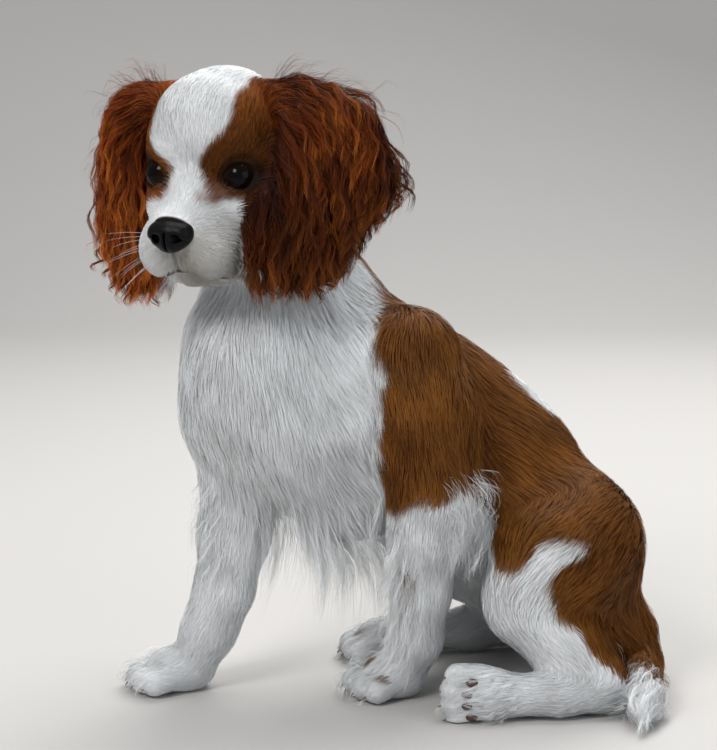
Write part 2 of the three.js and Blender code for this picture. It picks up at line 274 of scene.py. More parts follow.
trunk = Blend(20, [
    Cone([-64, -4, 292], [-44, 4, 222], 35, 47),
    Cone([-50, 2, 276], [8, 22, 210], 28, 25),
    *eggs([
        (-38, 2, 182, 61, 56, 62),
        (-62, -22, 190, 38, 36, 46),
    ], 0),
    Cone([-36, 0, 158], [-12, 12, 118], 48, 31),
    *eggs([
        (24, 26, 156, 64, 53, 65),
        (60, 42, 150, 47, 42, 45),
        (80, 32, 116, 58, 52, 59),
        (124, 31, 74, 44, 56, 48),
        (135, 30, 30, 38, 54, 42),
    ], 0),
])
legs = {
    "upper_arm_left": Blend(14, limb([(30, -18, 203, 31), (36, -28, 165, 33), (43, -31, 128, 26)], 6)),
    "forearm_left": Blend(14, limb([
        (43, -31, 128, 26), (38, -24, 98, 20.5), (36, -18, 64, 16.5), (33, -12, 36, 15.5),
        (27, -10, 16, 14.5),
    ], LEG_DEPTH)),
    "upper_arm_right": Blend(14, limb([(-70, 8, 205, 32), (-76, 8, 160, 26), (-70, 8, 122, 22)], 6)),
    "forearm_right": Blend(14, limb([
        (-70, 8, 122, 22), (-73, 7, 92, 20.5), (-79, 5, 60, 17), (-88, 5, 36, 15.5),
        (-97, 6, 16, 14.5),
    ], LEG_DEPTH)),
    "thigh_left": Blend(18, limb([(126, 2, 90, 43), (112, -20, 80, 39), (98, -32, 66, 27)], 6)),
    "shank_left": Blend(14, limb([(97, -33, 58, 24), (118, -40, 40, 20), (136, -44, 24, 16)], LEG_DEPTH)),
    "hock_left": Blend(10, limb([(138, -48, 15, 15), (112, -54, 14, 13), (86, -57, 14, 13.5)], 2.6)),
    "thigh_right": Blend(18, limb([(122, 62, 86, 40), (88, 74, 78, 34), (62, 76, 66, 27)], 6)),
    "shank_right": Blend(14, limb([(64, 79, 58, 22), (92, 86, 38, 18), (110, 92, 22, 16)], LEG_DEPTH)),
    "hock_right": Blend(10, limb([(110, 96, 15, 15), (70, 88, 14, 13.5), (34, 77, 14, 14)], 2.6)),
}
tail = Blend(12, limb([
    (150, 30, 56, 15), (166, 22, 34, 15), (166, 0, 15, 15),
    (164, -28, 13, 13.5), (162, -54, 12, 12.5), (159, -72, 10, 11),
], TAIL_DEPTH))
ears = {
    1: Blend(14, [Cone([0, 27, 28], [0, 46, 20], 5, 9), Egg([26, 38, -42], [11, 14, 26])] + eggs([
        (1, 46, 15, 17, 24, 22),
        (-2, 73, 12, 16, 29, 21),
        (-3, 82, -19, 17, 28, 33),
        (8, 48, -28, 20, 29, 42),
        (6, 52, -60, 17, 28, 27),
    ], EAR_DEPTH)),
    -1: Blend(12, [Cone([1, -27, 25], [-2, -48, 18], 7, 10)] + eggs([
        (-3, -55, 8, 15, 20, 22),
        (-3, -65, -33, 15, 23, 43),
        (-1, -61, -72, 13, 21, 26),
    ], EAR_DEPTH)),
}

# Feet: each has a palm and four toes
TOE_STEPS = (-1.5, -0.5, 0.5, 1.5)
FEET = {
    "forepaw_left": (foot_place([20, -8, -1], 62), 8.6, 20),
    "forepaw_right": (foot_place([-106, 6, -1], 66), 8.8, 22),
    "hind_foot_right": (foot_place([16, 71, -1], 75), 8.4, 19),
    "hind_foot_left": (foot_place([74, -68, 14], 84, 90), 7.6, 19),
}


def toe_line(step, spread, reach):
    """The middle of a toe: where it leaves the palm and where it ends, in the foot's frame."""
    inner = 1 - abs(step) / 3
    across = step * spread
    return [reach * 0.25, across * 0.8, 12.5], [reach * (0.72 + 0.42 * inner), across * 1.05, 8.5]


def foot_form(spread, reach):
    palm = Egg([0, 0, 12], np.array([reach * 0.95, spread * 2.1, 15]) - PAW_DEPTH)
    toes = [
        Cone(*toe_line(step, spread, reach), 8.5 - PAW_DEPTH, 7.4 - PAW_DEPTH) for step in TOE_STEPS
    ]
    return Blend(2.0, [palm] + toes)


feet = {name: foot_form(spread, reach) for name, (_, spread, reach) in FEET.items()}


# Eyes and lids
GAZE_OUT = math.radians(28)
GAZE_UP = 0.06
LID_THICKNESS = 1.2
LID_REACH = 22  # how far from an eye's middle its lids change the face
EYE_SETBACK = 0.8  # the skin behind an open eye lies this far inside the eyeball
OPENING = (9.4, 7.6)  # half width and half height of the eye's opening


def eye_place(side):
    """Forward is the gaze, left is outwards on both sides."""
    gaze = unit(np.array([math.cos(GAZE_OUT), side * math.sin(GAZE_OUT), GAZE_UP]))
    up = unit(np.array([0, 0, 1]) - gaze * gaze[2])
    across = np.cross(up, gaze) * side
    return Place(EYE_PLACE * [1, side, 1], [gaze, across, up])


EYES = {side: eye_place(side) for side in SIDES}


def lid_line(e):
    """Distance in millimetres outside the edge of the lids, from a place in the eye's own frame."""
    inner = step_up(-e[:, 1], 4, 11)
    rise = e[:, 2] - 0.3 + 1.6 * inner
    tall = np.where(rise > 0, OPENING[1] + 0.2, OPENING[1] - 0.3) * (1 - 0.18 * inner)
    return (np.hypot(e[:, 1] / OPENING[0], rise / tall) - 1) * tall


def with_eyes(found, h):
    """Opens the lids in the head's form, and wraps them over the eyeballs."""
    for side in SIDES:
        e = EYES[side].inside(h)
        close = size_of(e) < LID_REACH
        near = e[close]
        edge = lid_line(near)
        window = np.maximum(edge + 0.2, 3 - near[:, 0])
        value = soft_max(found[close], -window, 1.6)
        shell = EYE_RADIUS - EYE_SETBACK + (LID_THICKNESS + EYE_SETBACK) * step_up(edge, -0.5, 0.8)
        lid = size_of(near) - np.where(near[:, 0] > 0, shell, EYE_RADIUS - 1)
        found[close] = soft_min(value, lid, 2.2)
    return found


# The mouth: the lips meet in a line that falls from under the nose and runs back below the pads
MOUTH_TOP = -61.5
MOUTH_DROP = 6.5
# Widths over which neighbouring forms melt together
FACE_BLEND = 10
LIP_BLEND = 10
JAW_BLEND = 2.5
NECK_BLEND = 14
LIMB_TOP_BLEND = 22
LIMB_BLEND = 10
PAW_BLEND = 5
EAR_BLEND = 5
TAIL_BLEND = 9


def mouth_height(h):
    drop = step_up(np.abs(h[:, 1]), 1, 19) * step_up(h[:, 0], 14, 46)
    return MOUTH_TOP - MOUTH_DROP * drop + 5 * step_up(-h[:, 0], -34, -8) - 5 * step_up(-h[:, 0], -46, -24)


def head_form(h):
    flesh = soft_min(braincase(h), face(h), FACE_BLEND)
    upper = soft_min(flesh, lip_pads(h), LIP_BLEND)
    found = soft_min(upper, jaw(h), JAW_BLEND)
    slit = np.abs(h[:, 2] - mouth_height(h)) - 0.30
    slit = np.maximum(slit, np.maximum(22 - h[:, 0], -(found + 3)))
    groove = np.hypot(h[:, 1], (h[:, 2] + 56) * 0.02) - 0.5
    groove = np.maximum(groove, np.maximum(58 - h[:, 0], -(found + 1.6)))
    groove = np.maximum(groove, np.maximum(h[:, 2] + 46, -67 - h[:, 2]))
    found = soft_max(found, -slit, 1.4)
    found = soft_max(found, -groove, 1.2)
    return with_eyes(found, h)


def trunk_depth(q):
    """The coat's depth on the trunk, deepest on the chest."""
    front = step_up(-q[:, 0], -25, 45)
    high = step_up(q[:, 2], 110, 150)
    return TRUNK_DEPTH + (CHEST_DEPTH - TRUNK_DEPTH) * front * high


def skin_form(p):
    """The whole skin, from places in the row's frame."""
    q = LAYOUT.inside(p)
    h = HEAD.inside(p)
    found = soft_min(trunk(q) + trunk_depth(q), head_form(h), NECK_BLEND)
    for name, part in legs.items():
        width = LIMB_TOP_BLEND if name.startswith(("upper", "thigh")) else LIMB_BLEND
        found = soft_min(found, part(q), width)
    for name, (place, _, _) in FEET.items():
        found = soft_min(found, feet[name](place.inside(p)), PAW_BLEND)
    for part in ears.values():
        found = soft_min(found, part(h), EAR_BLEND)
    found = soft_min(found, tail(q), TAIL_BLEND)
    return soft_max(found, SOLE_HEIGHT - p[:, 2], 1.5)


# Grids of the form, read between their points
class Grid:
    """Values at the corners of cubic cells."""

    def __init__(self, values, low, cell):
        self.values = values
        self.low = low
        self.cell = cell
        self.last = np.array(values.shape[:3]) - 1.001

    def holds(self, p):
        at = (p - self.low) / self.cell
        return np.all((at >= 0) & (at <= self.last), axis=1)

    def read(self, p):
        at = np.clip((p - self.low) / self.cell, 0, self.last)
        base = at.astype(int)
        share = (at - base).astype(np.float32)
        total = 0
        for corner in range(8):
            step = np.array([corner & 1, corner >> 1 & 1, corner >> 2])
            weight = np.prod(np.where(step, share, 1 - share), axis=1)
            i, j, k = (base + step).T
            total = total + weight[:, None] * self.values[i, j, k]
        return total


def sampled(form, low, high, cell):
    counts = np.ceil((high - low) / cell).astype(int) + 1
    xs, ys, zs = (low[i] + cell * np.arange(counts[i]) for i in range(3))
    y, z = np.meshgrid(ys, zs, indexing="ij")
    slab = np.stack([y.ravel(), z.ravel()], 1)
    values = []
    for x in xs:
        rows = form(np.column_stack([np.full(len(slab), x), slab]))
        values.append(np.asarray(rows, np.float32).reshape(counts[1], counts[2], -1))
    return np.array(values)


def with_slopes(values, cell):
    distance = values[..., 0]
    return np.stack([distance, *np.gradient(distance, cell)], -1).astype(np.float32)


BODY_CELL = 2.5
HEAD_CELL = 1.25
BOX_LOW = np.array([-131.0, -159.0, -3.0])
BOX_HIGH = np.array([131.0, 159.0, 369.0])
HEAD_REACH = 62.0
head_middle = HEAD.outside([28, 0, -15])

body_values = sampled(skin_form, BOX_LOW, BOX_HIGH, BODY_CELL)
BODY_GRID = Grid(with_slopes(body_values, BODY_CELL), BOX_LOW, BODY_CELL)
head_values = sampled(skin_form, head_middle - HEAD_REACH, head_middle + HEAD_REACH, HEAD_CELL)
HEAD_GRID = Grid(with_slopes(head_values, HEAD_CELL), head_middle - HEAD_REACH, HEAD_CELL)


def skin_near(p):
    """Distance from the skin and the direction away from it."""
    found = BODY_GRID.read(p)
    on_head = HEAD_GRID.holds(p)
    found[on_head] = HEAD_GRID.read(p[on_head])
    return found[:, 0], unit(found[:, 1:])


# Meshes
def surface_of(values, low, cell):
    grid = openvdb.FloatGrid(FAR)
    grid.copyFromArray(np.ascontiguousarray(values[..., 0], dtype=np.float32))
    grid.transform = openvdb.createLinearTransform(voxelSize=cell)
    points, quads = grid.convertToQuads(isovalue=0)
    return points + low, quads.astype(int)[:, ::-1].tolist()


def object_of(name, data):
    made = bpy.data.objects.new(name, data)
    bpy.context.scene.collection.objects.link(made)
    return made


def mesh_piece(name, points, faces):
    mesh = bpy.data.meshes.new(name)
    mesh.from_pydata((points * MM).tolist(), [], faces)
    mesh.shade_smooth()
    return object_of(name, mesh)


def points_of(piece):
    flat = np.empty(len(piece.data.vertices) * 3, np.float32)
    piece.data.vertices.foreach_get("co", flat)
    return flat.reshape(-1, 3).astype(float) / MM


def normals_of(piece):
    flat = np.empty(len(piece.data.vertices) * 3, np.float32)
    piece.data.vertex_normals.foreach_get("vector", flat)
    return flat.reshape(-1, 3).astype(float)


def settle(piece, form, rounds):
    """Moves the points of a mesh onto the form's surface."""
    points = points_of(piece)
    nudge = 0.15
    for _ in range(rounds):
        here = form(points)
        slope = np.stack([(form(points + nudge * axis) - here) / nudge for axis in np.eye(3)], 1)
        steep = np.maximum((slope**2).sum(1), 0.35)
        points -= slope * np.clip(here / steep, -1.5, 1.5)[:, None]
    piece.data.vertices.foreach_set("co", (points * MM).astype(np.float32).ravel())
    piece.data.update()


def refine(piece, choose):
    """Splits the faces that choose picks by the places of their middles."""
    shape = bmesh.new()
    shape.from_mesh(piece.data)
    shape.faces.ensure_lookup_table()
    middles = np.array([face.calc_center_median() for face in shape.faces]) / MM
    chosen = choose(middles)
    edges = {edge for face, wanted in zip(shape.faces, chosen) if wanted for edge in face.edges}
    bmesh.ops.subdivide_edges(shape, edges=list(edges), cuts=1, use_grid_fill=True)
    bmesh.ops.triangulate(shape, faces=[face for face in shape.faces if len(face.verts) > 4])
    shape.to_mesh(piece.data)
    shape.free()


def near_features(p):
    """The eyes, the lips and the skin round the nose."""
    h = HEAD.inside(p)
    close = size_of(h - NOSE_PLACE) < 19
    for side in SIDES:
        close |= size_of(h - EYE_PLACE * [1, side, 1]) < 16
    lips = (h[:, 0] > 8) & (np.abs(h[:, 2] - mouth_height(h)) < 4) & (np.abs(h[:, 1]) < 32)
    return close | lips


def on_face_or_foot(p):
    h = HEAD.inside(p)
    found = (h[:, 0] > 6) & (np.abs(h[:, 1]) < 40) & (np.abs(h[:, 2] + 18) < 62)
    for place, _, reach in FEET.values():
        f = place.inside(p)
        found |= (size_of(f - [8, 0, 8]) < reach * 1.5) & (f[:, 0] > -4)
    return found


skin = mesh_piece("skin", *surface_of(body_values, BOX_LOW, BODY_CELL))
settle(skin, skin_form, 2)
refine(skin, on_face_or_foot)
settle(skin, skin_form, 2)
refine(skin, near_features)
settle(skin, skin_form, 3)


# Markings: chestnut patches on white, by place on the head and on the body
WHITE = np.array([0.79, 0.81, 0.825])
# The colours at the roots, WHITE_SHADE, CHESTNUT_DARK and EAR_DARK, are darker than the hair's own colour:
# painted shade between the hairs near the skin.
WHITE_SHADE = np.array([0.70, 0.70, 0.70])
CHESTNUT = np.array([0.150, 0.050, 0.007])
CHESTNUT_DARK = np.array([0.060, 0.017, 0.003])
CHESTNUT_TIP = np.array([0.27, 0.108, 0.021])
# The ears' own deep red, made darker still: painted shade over the hanging ears.
EAR_RED = np.array([0.070, 0.0130, 0.0017])
EAR_DARK = np.array([0.017, 0.003, 0.001])
EAR_TIP = np.array([0.27, 0.075, 0.011])
MUZZLE_TINT_AND_SHADE = np.array([0.46, 0.425, 0.38])  # the short hair of the muzzle lets the skin show, and the near side is painted darker: painted shade
TEAR_STAIN = np.array([0.25, 0.115, 0.078])
BARE = np.array([0.009, 0.006, 0.005])  # skin without hair
EDGE = 2.2  # half width of the mixed hair between two colours
BLAZE_HALF = 23.5  # half width of the blaze on the forehead
BLAZE_WAIST = {1: 6.5, -1: 10.5}  # and between the eyes, to the left and to the right
BLAZE_CLOSES = 22  # how much of its half width it loses over the crown
PATCH_BOTTOM = -27  # height in the head's frame of the lower edge of the eye patches
SHOULDER_EDGE = 14  # where the chestnut begins behind the chest, in the layout


def on_head_patch(h):
    """Millimetres inside the chestnut of the eye patches and the sides of the head."""
    y = np.abs(h[:, 1])
    side = np.sign(h[:, 1])
    waist = np.where(side > 0, BLAZE_WAIST[1], BLAZE_WAIST[-1])
    forehead = step_up(h[:, 2] + 2 * (1 - side), -6, 14 + 3 * side)
    cheek = step_up(-h[:, 2], 9, 27)
    crown = step_up(-h[:, 0], 8, 34)
    half = waist + (BLAZE_HALF - waist) * forehead + (7 + 2 * side) * cheek - BLAZE_CLOSES * crown
    # The lower edge falls under the eye, behind the cheek and again down the nape
    under_eye = PATCH_BOTTOM + 2 * side - 5 * step_up(y, 27, 38)
    lower_edge = under_eye - 22 * step_up(-h[:, 0], -8, 10) - 50 * step_up(-h[:, 0], 20, 38)
    return np.minimum(y - half, h[:, 2] - lower_edge)


def on_body_patch(q):
    """Millimetres inside the chestnut of the shoulders, saddle and rump."""
    x, y, z = q.T
    left = step_up(-y, -32, -2)
    # The front edge runs up from the elbow and forward along the nape
    front = x - SHOULDER_EDGE + 14 * step_up(z, 205, 250) + 48 * step_up(z, 240, 300)
    front = front - 6 * step_up(150 - z, 0, 40) * left
    # The left side: white rises behind the elbow and up the thigh, in front of the rump
    elbow_peak = 12 * np.exp(-(((x - 62) / 10) ** 2))
    low_left = 126 - 34 * step_up(x, 56, 82) + elbow_peak + 8 * step_up(x, 92, 112)
    rump_edge = 112 + 0.0125 * (z - 80) ** 2 + 17 * step_up(z, 86, 103)
    low_left = np.where(x > rump_edge, 12.0, low_left)
    saddle = np.maximum(z - low_left, np.minimum(x - rump_edge, 14))
    # The right side: a higher edge, a white band over the loin and a white mark on the rump
    low_right = 148 - 40 * step_up(x, 30, 80) - 60 * step_up(x, 104, 128)
    band = np.abs(x - 82 - 0.2 * (z - 120)) - 16
    rump_mark = np.hypot(x - 158, 0.6 * (z - 104)) - 13
    right = np.minimum(np.minimum(z - low_right, band), rump_mark)
    return np.minimum(front, left * saddle + (1 - left) * right)


SPOTS = (  # layout place and radius of the small marks on the legs
    ((28, -34, 79), 3.6),
    ((31, -32, 57), 2.2),
    ((10, -10, 21), 3.4),
    ((15, -28, 14), 3.0),
    ((-12, -18, 10), 2.2),
    ((2, 67, 17), 3.4),
)


def chestnut_share(p):
    """0 where the coat is white to 1 where it is chestnut."""
    q = LAYOUT.inside(p)
    h = HEAD.inside(p)
    ragged = 2.6 * waves(p, 22) + 1.5 * waves(p + 50, 7)
    head_side = head_form(h)
    of_head = step_up(trunk(q) + 8 - head_side, -6, 6) * (head_side < 20)
    inside = of_head * on_head_patch(h) + (1 - of_head) * (on_body_patch(q) + ragged)
    inside = inside + of_head * ragged * 0.45
    for side in SIDES:
        of_ear = ears[side](h) < np.clip(trunk(q) + 4, 1, 5)
        inside = np.maximum(inside, np.where(of_ear, 6.0, -9.0))
    share = step_up(inside, -EDGE, EDGE)
    tail_side = tail(q) < np.minimum(9, trunk(q) + 6)
    share = np.where(tail_side, step_up(q[:, 1] + 0.4 * ragged, -28, -18), share)
    for place, radius in SPOTS:
        away = size_of(q - place) + 0.7 * waves(p, 5)
        share = np.maximum(share, 0.8 * step_up(-away, -radius - 1, -radius + 1))
    return share


def ear_share(p):
    """1 on the ears, and half of that on the chestnut of the face."""
    h = HEAD.inside(p)
    nearest = np.minimum(ears[1](h), ears[-1](h))
    on_face = step_up(-size_of(h - [14, 0, -8]), -70, -55)
    return np.maximum(step_up(-nearest, -9, -2), 0.5 * on_face)


def marks_at(p):
    """Shares at p of chestnut, ear, muzzle tint and painted shade, tear stain, dark lids and painted light
    on the ears, which colour the coat.
    """
    h = HEAD.inside(p)
    muzzle = step_up(-size_of((h - [42, 0, -52]) / [33, 35, 25]), -1.15, -0.7)
    # The near side of the muzzle gets the most of it: painted shade there.
    muzzle = muzzle * step_up(h[:, 1], -30, 10)
    # Painted light on the ears: the far ear, lit from behind, is painted much lighter, and the near ear
    # lighter at the top and darker low down. The chestnut of the face takes half of it.
    ear_painted_light = np.where(h[:, 1] < 0, 1.5, 0.9 * step_up(h[:, 2], -10, 26) - 0.22)
    return np.stack([chestnut_share(p), ear_share(p), muzzle, stain_share(h), eye_shade(h), ear_painted_light], 1)


def coat_colour(marks, along, tone):
    """Linear colour of the coat. Along runs from 0 at the skin to 1 at the tip."""
    chestnut, of_ear, muzzle, stain, shade, ear_painted_light = marks.T[:, :, None]
    # Near the skin every hair is painted darker: painted shade between the hairs.
    root = CHESTNUT_DARK + (EAR_DARK - CHESTNUT_DARK) * of_ear
    middle = CHESTNUT + (EAR_RED - CHESTNUT) * of_ear
    tip = CHESTNUT_TIP + (EAR_TIP - CHESTNUT_TIP) * of_ear
    red = root + (middle - root) * step_up(along, 0, 0.5) + (tip - middle) * step_up(along, 0.55, 1.1)
    white = WHITE_SHADE + (WHITE - WHITE_SHADE) * step_up(along, -0.1, 0.6)
    # The muzzle's own greyer tint, with painted shade on its near side.
    white = white * (1 + (MUZZLE_TINT_AND_SHADE - 1) * muzzle)
    tone = tone[:, None]
    # Painted light and shade on the ears and on the face's chestnut.
    red = red * tone * (1 + of_ear * ear_painted_light)
    white = white * (1 + 0.5 * (tone - 1))
    colour = chestnut * red + (1 - chestnut) * white
    colour = colour * (1 - 0.75 * shade)
    return colour * (1 - stain) + TEAR_STAIN * stain


def eye_shade(h):
    """The dark hair round the lids."""
    share = np.zeros(len(h))
    for side in SIDES:
        e = EYES[side].inside(h)
        near = (size_of(e) < 24) & (e[:, 0] > 0)
        share = np.maximum(share, np.where(near, step_up(-lid_line(e), -5.0, -0.3), 0))
    return share


def face_darkness(h):
    """The share of bare, dark skin: the lids, the lips and round the nose."""
    share = np.zeros(len(h))
    for side in SIDES:
        e = EYES[side].inside(h)
        near = (size_of(e) < 20) & (e[:, 0] > 0)
        rim = step_up(-lid_line(e), -1.3, -0.6)
        share = np.maximum(share, np.where(near, rim, 0))
    lip = step_up(-np.abs(h[:, 2] - mouth_height(h)), -1.7, -0.7) * step_up(h[:, 0], 34, 46)
    share = np.maximum(share, 0.85 * lip * (head_form(h) > -6))
    under_nose = step_up(-np.abs(h[:, 1]), -2.2, -0.8) * step_up(h[:, 2], -66, -60)
    under_nose = under_nose * (h[:, 0] > 52) * (h[:, 2] < -44)
    share = np.maximum(share, 0.55 * under_nose)
    leather = size_of((h - NOSE_PLACE - [1, 0, -1]) / [10, 12.6, 9.5])
    return np.maximum(share, step_up(-leather, -1.1, -0.98))


def stain_share(h):
    """The stain that runs from the inner corner of each eye, and a spot on the left lip."""
    share = np.zeros(len(h))
    for side in SIDES:
        away = (h - [43, side * 13.5, -23]) / [14, 9, 6]
        share = np.maximum(share, step_up(-size_of(away), -1.3, -0.3))
    share = share * np.clip(0.8 + 0.5 * waves(h * [1, 0.5, 2], 3.5), 0, 1)
    spot = size_of(h - [47.4, 22.9, -50.3])
    return np.maximum(0.85 * share, 0.85 * step_up(-spot, -5, -2.5))


def skin_colour(p):
    h = HEAD.inside(p)
    # The skin takes the coat's colour a third of the way along the hair, with part of the painted shade
    # near the roots.
    colour = coat_colour(marks_at(p), 0.35, np.ones(len(p)))
    bare = face_darkness(h)[:, None]
    return colour * (1 - bare) + BARE * bare


# Materials
COLOUR = "coat_colour"


def set_colours(piece, colours):
    layer = piece.data.color_attributes.new(COLOUR, "FLOAT_COLOR", "POINT")
    rgba = np.ones((len(colours), 4), np.float32)
    rgba[:, :3] = colours
    layer.data.foreach_set("color", rgba.ravel())


def material(name, roughness, coat=0.0, specular=0.5, colour=None):
    made = bpy.data.materials.new(name)
    made.use_nodes = True
    shader = made.node_tree.nodes["Principled BSDF"]
    shader.inputs["Roughness"].default_value = roughness
    shader.inputs["Coat Weight"].default_value = coat
    shader.inputs["Coat Roughness"].default_value = 0.02
    shader.inputs["Specular IOR Level"].default_value = specular
    if colour is not None:
        shader.inputs["Base Color"].default_value = (*colour, 1)
        return made
    attribute = made.node_tree.nodes.new("ShaderNodeAttribute")
    attribute.attribute_name = COLOUR
    made.node_tree.links.new(attribute.outputs["Color"], shader.inputs["Base Color"])
    return made


def grain_group():
    """A node group of fine, even grain: Scale goes in, Height comes out."""
    made = bpy.data.node_groups.new("fine_grain", "ShaderNodeTree")
    made.interface.new_socket("Scale", in_out="INPUT", socket_type="NodeSocketFloat")
    made.interface.new_socket("Height", in_out="OUTPUT", socket_type="NodeSocketFloat")
    given = made.nodes.new("NodeGroupInput")
    result = made.nodes.new("NodeGroupOutput")
    place = made.nodes.new("ShaderNodeTexCoord")
    noise = made.nodes.new("ShaderNodeTexNoise")
    noise.inputs["Detail"].default_value = 3
    made.links.new(given.outputs["Scale"], noise.inputs["Scale"])
    made.links.new(place.outputs["Object"], noise.inputs["Vector"])
    made.links.new(noise.outputs["Fac"], result.inputs["Height"])
    return made


FINE_GRAIN = grain_group()


def add_bump(made, size, strength, height):
    """Grain about size metres across that stands height metres high."""
    nodes, links = made.node_tree.nodes, made.node_tree.links
    grain = nodes.new("ShaderNodeGroup")
    grain.node_tree = FINE_GRAIN
    grain.inputs["Scale"].default_value = 1 / size
    bump = nodes.new("ShaderNodeBump")
    bump.inputs["Strength"].default_value = strength
    bump.inputs["Distance"].default_value = height
    links.new(grain.outputs["Height"], bump.inputs["Height"])
    links.new(bump.outputs["Normal"], nodes["Principled BSDF"].inputs["Normal"])


skin_finish = material("skin_under_the_coat", 0.8, specular=0.1)
add_bump(skin_finish, 0.0016, 0.5, 0.0006)
hair_finish = material("hair", 0.6, specular=0.11)
eye_finish = material("wet_eye", 0.03, specular=0.09)
leather_finish = material("nose_leather", 0.36, specular=0.13, colour=(0.0022, 0.0022, 0.003))
add_bump(leather_finish, 0.0011, 0.8, 0.0004)
claw_finish = material("claw_horn", 0.35, colour=(0.16, 0.115, 0.09))

skin.data.materials.append(skin_finish)
set_colours(skin, skin_colour(points_of(skin)))
FLESH = [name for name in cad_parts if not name.startswith("eye_") and name != "nose"]


def place_piece(piece, slot, *nodes):
    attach(piece, "root")
    for node in nodes:
        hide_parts(node)


# Eyes
PUPIL = 0.50  # radians from the gaze to the pupil's edge
IRIS = 0.88  # and to the iris's edge
PUPIL_BLACK = np.array([0.003, 0.002, 0.002])
IRIS_BROWN = np.array([0.008, 0.0026, 0.0012])
EYE_WHITE = np.array([0.014, 0.008, 0.006])


def eyeball(side):
    rings, slices = 40, 64
    turn = np.linspace(0, math.pi, rings + 1)
    around = np.linspace(0, 2 * math.pi, slices, endpoint=False)
    t, a = (grid.ravel() for grid in np.meshgrid(turn, around, indexing="ij"))
    radius = EYE_RADIUS - 0.35 + 0.75 * np.exp(-((t / 0.62) ** 2))
    q = np.stack([np.cos(t), np.sin(t) * np.cos(a), np.sin(t) * np.sin(a)], 1) * radius[:, None]
    points = HEAD.outside(EYES[side].outside(q))
    faces = []
    for ring in range(rings):
        for s in range(slices):
            n = (s + 1) % slices
            here, after = ring * slices, (ring + 1) * slices
            faces.append([here + s, after + s, after + n, here + n])
    piece = mesh_piece("eyeball_" + ("left" if side > 0 else "right"), points, faces)
    shape = bmesh.new()
    shape.from_mesh(piece.data)
    bmesh.ops.remove_doubles(shape, verts=shape.verts, dist=0.00002)
    bmesh.ops.dissolve_degenerate(shape, edges=shape.edges, dist=0.00002)
    bmesh.ops.recalc_face_normals(shape, faces=shape.faces)
    shape.to_mesh(piece.data)
    shape.free()
    e = EYES[side].inside(HEAD.inside(points_of(piece)))
    t = np.arccos(np.clip(unit(e)[:, 0], -1, 1))[:, None]
    iris = IRIS_BROWN * (0.6 + 0.8 * step_up(t, PUPIL, IRIS))
    colour = PUPIL_BLACK + (iris - PUPIL_BLACK) * step_up(t, PUPIL - 0.05, PUPIL + 0.08)
    colour = colour + (EYE_WHITE - colour) * step_up(t, IRIS - 0.05, IRIS + 0.1)
    set_colours(piece, colour)
    piece.data.materials.append(eye_finish)
    return piece


for side, node in ((1, "eye_left"), (-1, "eye_right")):
    place_piece(eyeball(side), "eye", node)

# Nose
NOSE_CELL = 0.6


def nose_form(h):
    """The leather of the nose with its two nostrils and the groove between them."""
    n = h - NOSE_PLACE
    pad = Blend(4, [
        Egg([-1.5, 0, 1.2], [9, 11.5, 5.6]),
        Egg([1.0, 0, -3.5], [7.6, 9, 8]),
        Egg([0, 8.2, -1.4], [6.2, 5, 5.2]),
        Egg([0, -8.2, -1.4], [6.2, 5, 5.2]),
    ])
    found = pad(n)
    for side in SIDES:
        hole = Cone([8.5, side * 5.4, -2.4], [3, side * 7.4, -3.0], 2.9, 1.8)(n)
        slot = Cone([7, side * 7.8, -3.8], [2.5, side * 13.2, -4.8], 1.4, 0.8)(n)
        found = soft_max(found, -np.minimum(hole, slot), 1.2)
    groove = np.maximum(np.abs(n[:, 1]) - 0.45, np.maximum(n[:, 2] - 1, 5 - n[:, 0]))
    return soft_max(found, -groove, 1.3)


def nose_leather():
    low = NOSE_PLACE - [13, 17, 14]
    high = NOSE_PLACE + [13, 17, 14]
    values = sampled(nose_form, low, high, NOSE_CELL)
    points, quads = surface_of(values, low, NOSE_CELL)
    piece = mesh_piece("nose_leather", HEAD.outside(points), quads)
    piece.data.materials.append(leather_finish)
    return piece


place_piece(nose_leather(), "nose_leather", "nose")


# The coat: zones, each with the lie of its hair, its length and how high it stands over the skin
def away_from_nose(h):
    """On the head hair runs back from the nose, and down over the cheeks."""
    back = unit(h - NOSE_PLACE + [6, 0, 0])
    droop = step_up(-h[:, 0], -34, 0) * step_up(-h[:, 2], -8, 30)
    return unit(back + droop[:, None] * [-0.1, 0, -0.8])


def over_trunk(q):
    """Down the chest and back along the spine and flanks."""
    back = step_up(q[:, 0], -50, 20)[:, None]
    down = unit([0.12, 0.06, -1.0] + back * [0.75, -0.02, 0.28])
    behind = step_up(q[:, 0], 120, 165)[:, None]
    return unit(down + behind * [-0.3, 0, -0.8])


def over_ear(h):
    """Outwards from where the ear is set on, then down."""
    side = np.sign(h[:, 1])[:, None]
    out = h - np.concatenate([np.full((len(h), 1), 2.0), side * 24, np.full((len(h), 1), 33.0)], 1)
    fall = step_up(size_of(out), 20, 70)[:, None]
    down = unit(unit(out * [0.5, 1, 1]) * (1.05 - fall) + fall * [0, 0, -1.0])
    inner = step_up(-np.abs(h[:, 1:2]), -56, -38)
    turn = inner * (step_up(-h[:, 2:3], -5, 25) - 2.2 * step_up(-h[:, 2:3], 42, 75))
    outer = 0.8 * step_up(np.abs(h[:, 1:2]), 70 + 4 * side, 92 + 4 * side) * step_up(-h[:, 2:3], 12, 45)
    return unit(down - (0.55 * turn + outer) * side * [0, 1, 0])


class Zone:
    """A part of the coat: where it is, how its hair lies, and the hair's numbers."""

    def __init__(self, group, form, place, lie, length, height, width, density):
        self.group = group
        self.form = form
        self.place = place
        self.lie = lie
        self.numbers = (length, height, width, density)

    def lie_at(self, q):
        if callable(self.lie):
            return self.lie(q)
        return np.broadcast_to(unit(np.array(self.lie, float)), q.shape)


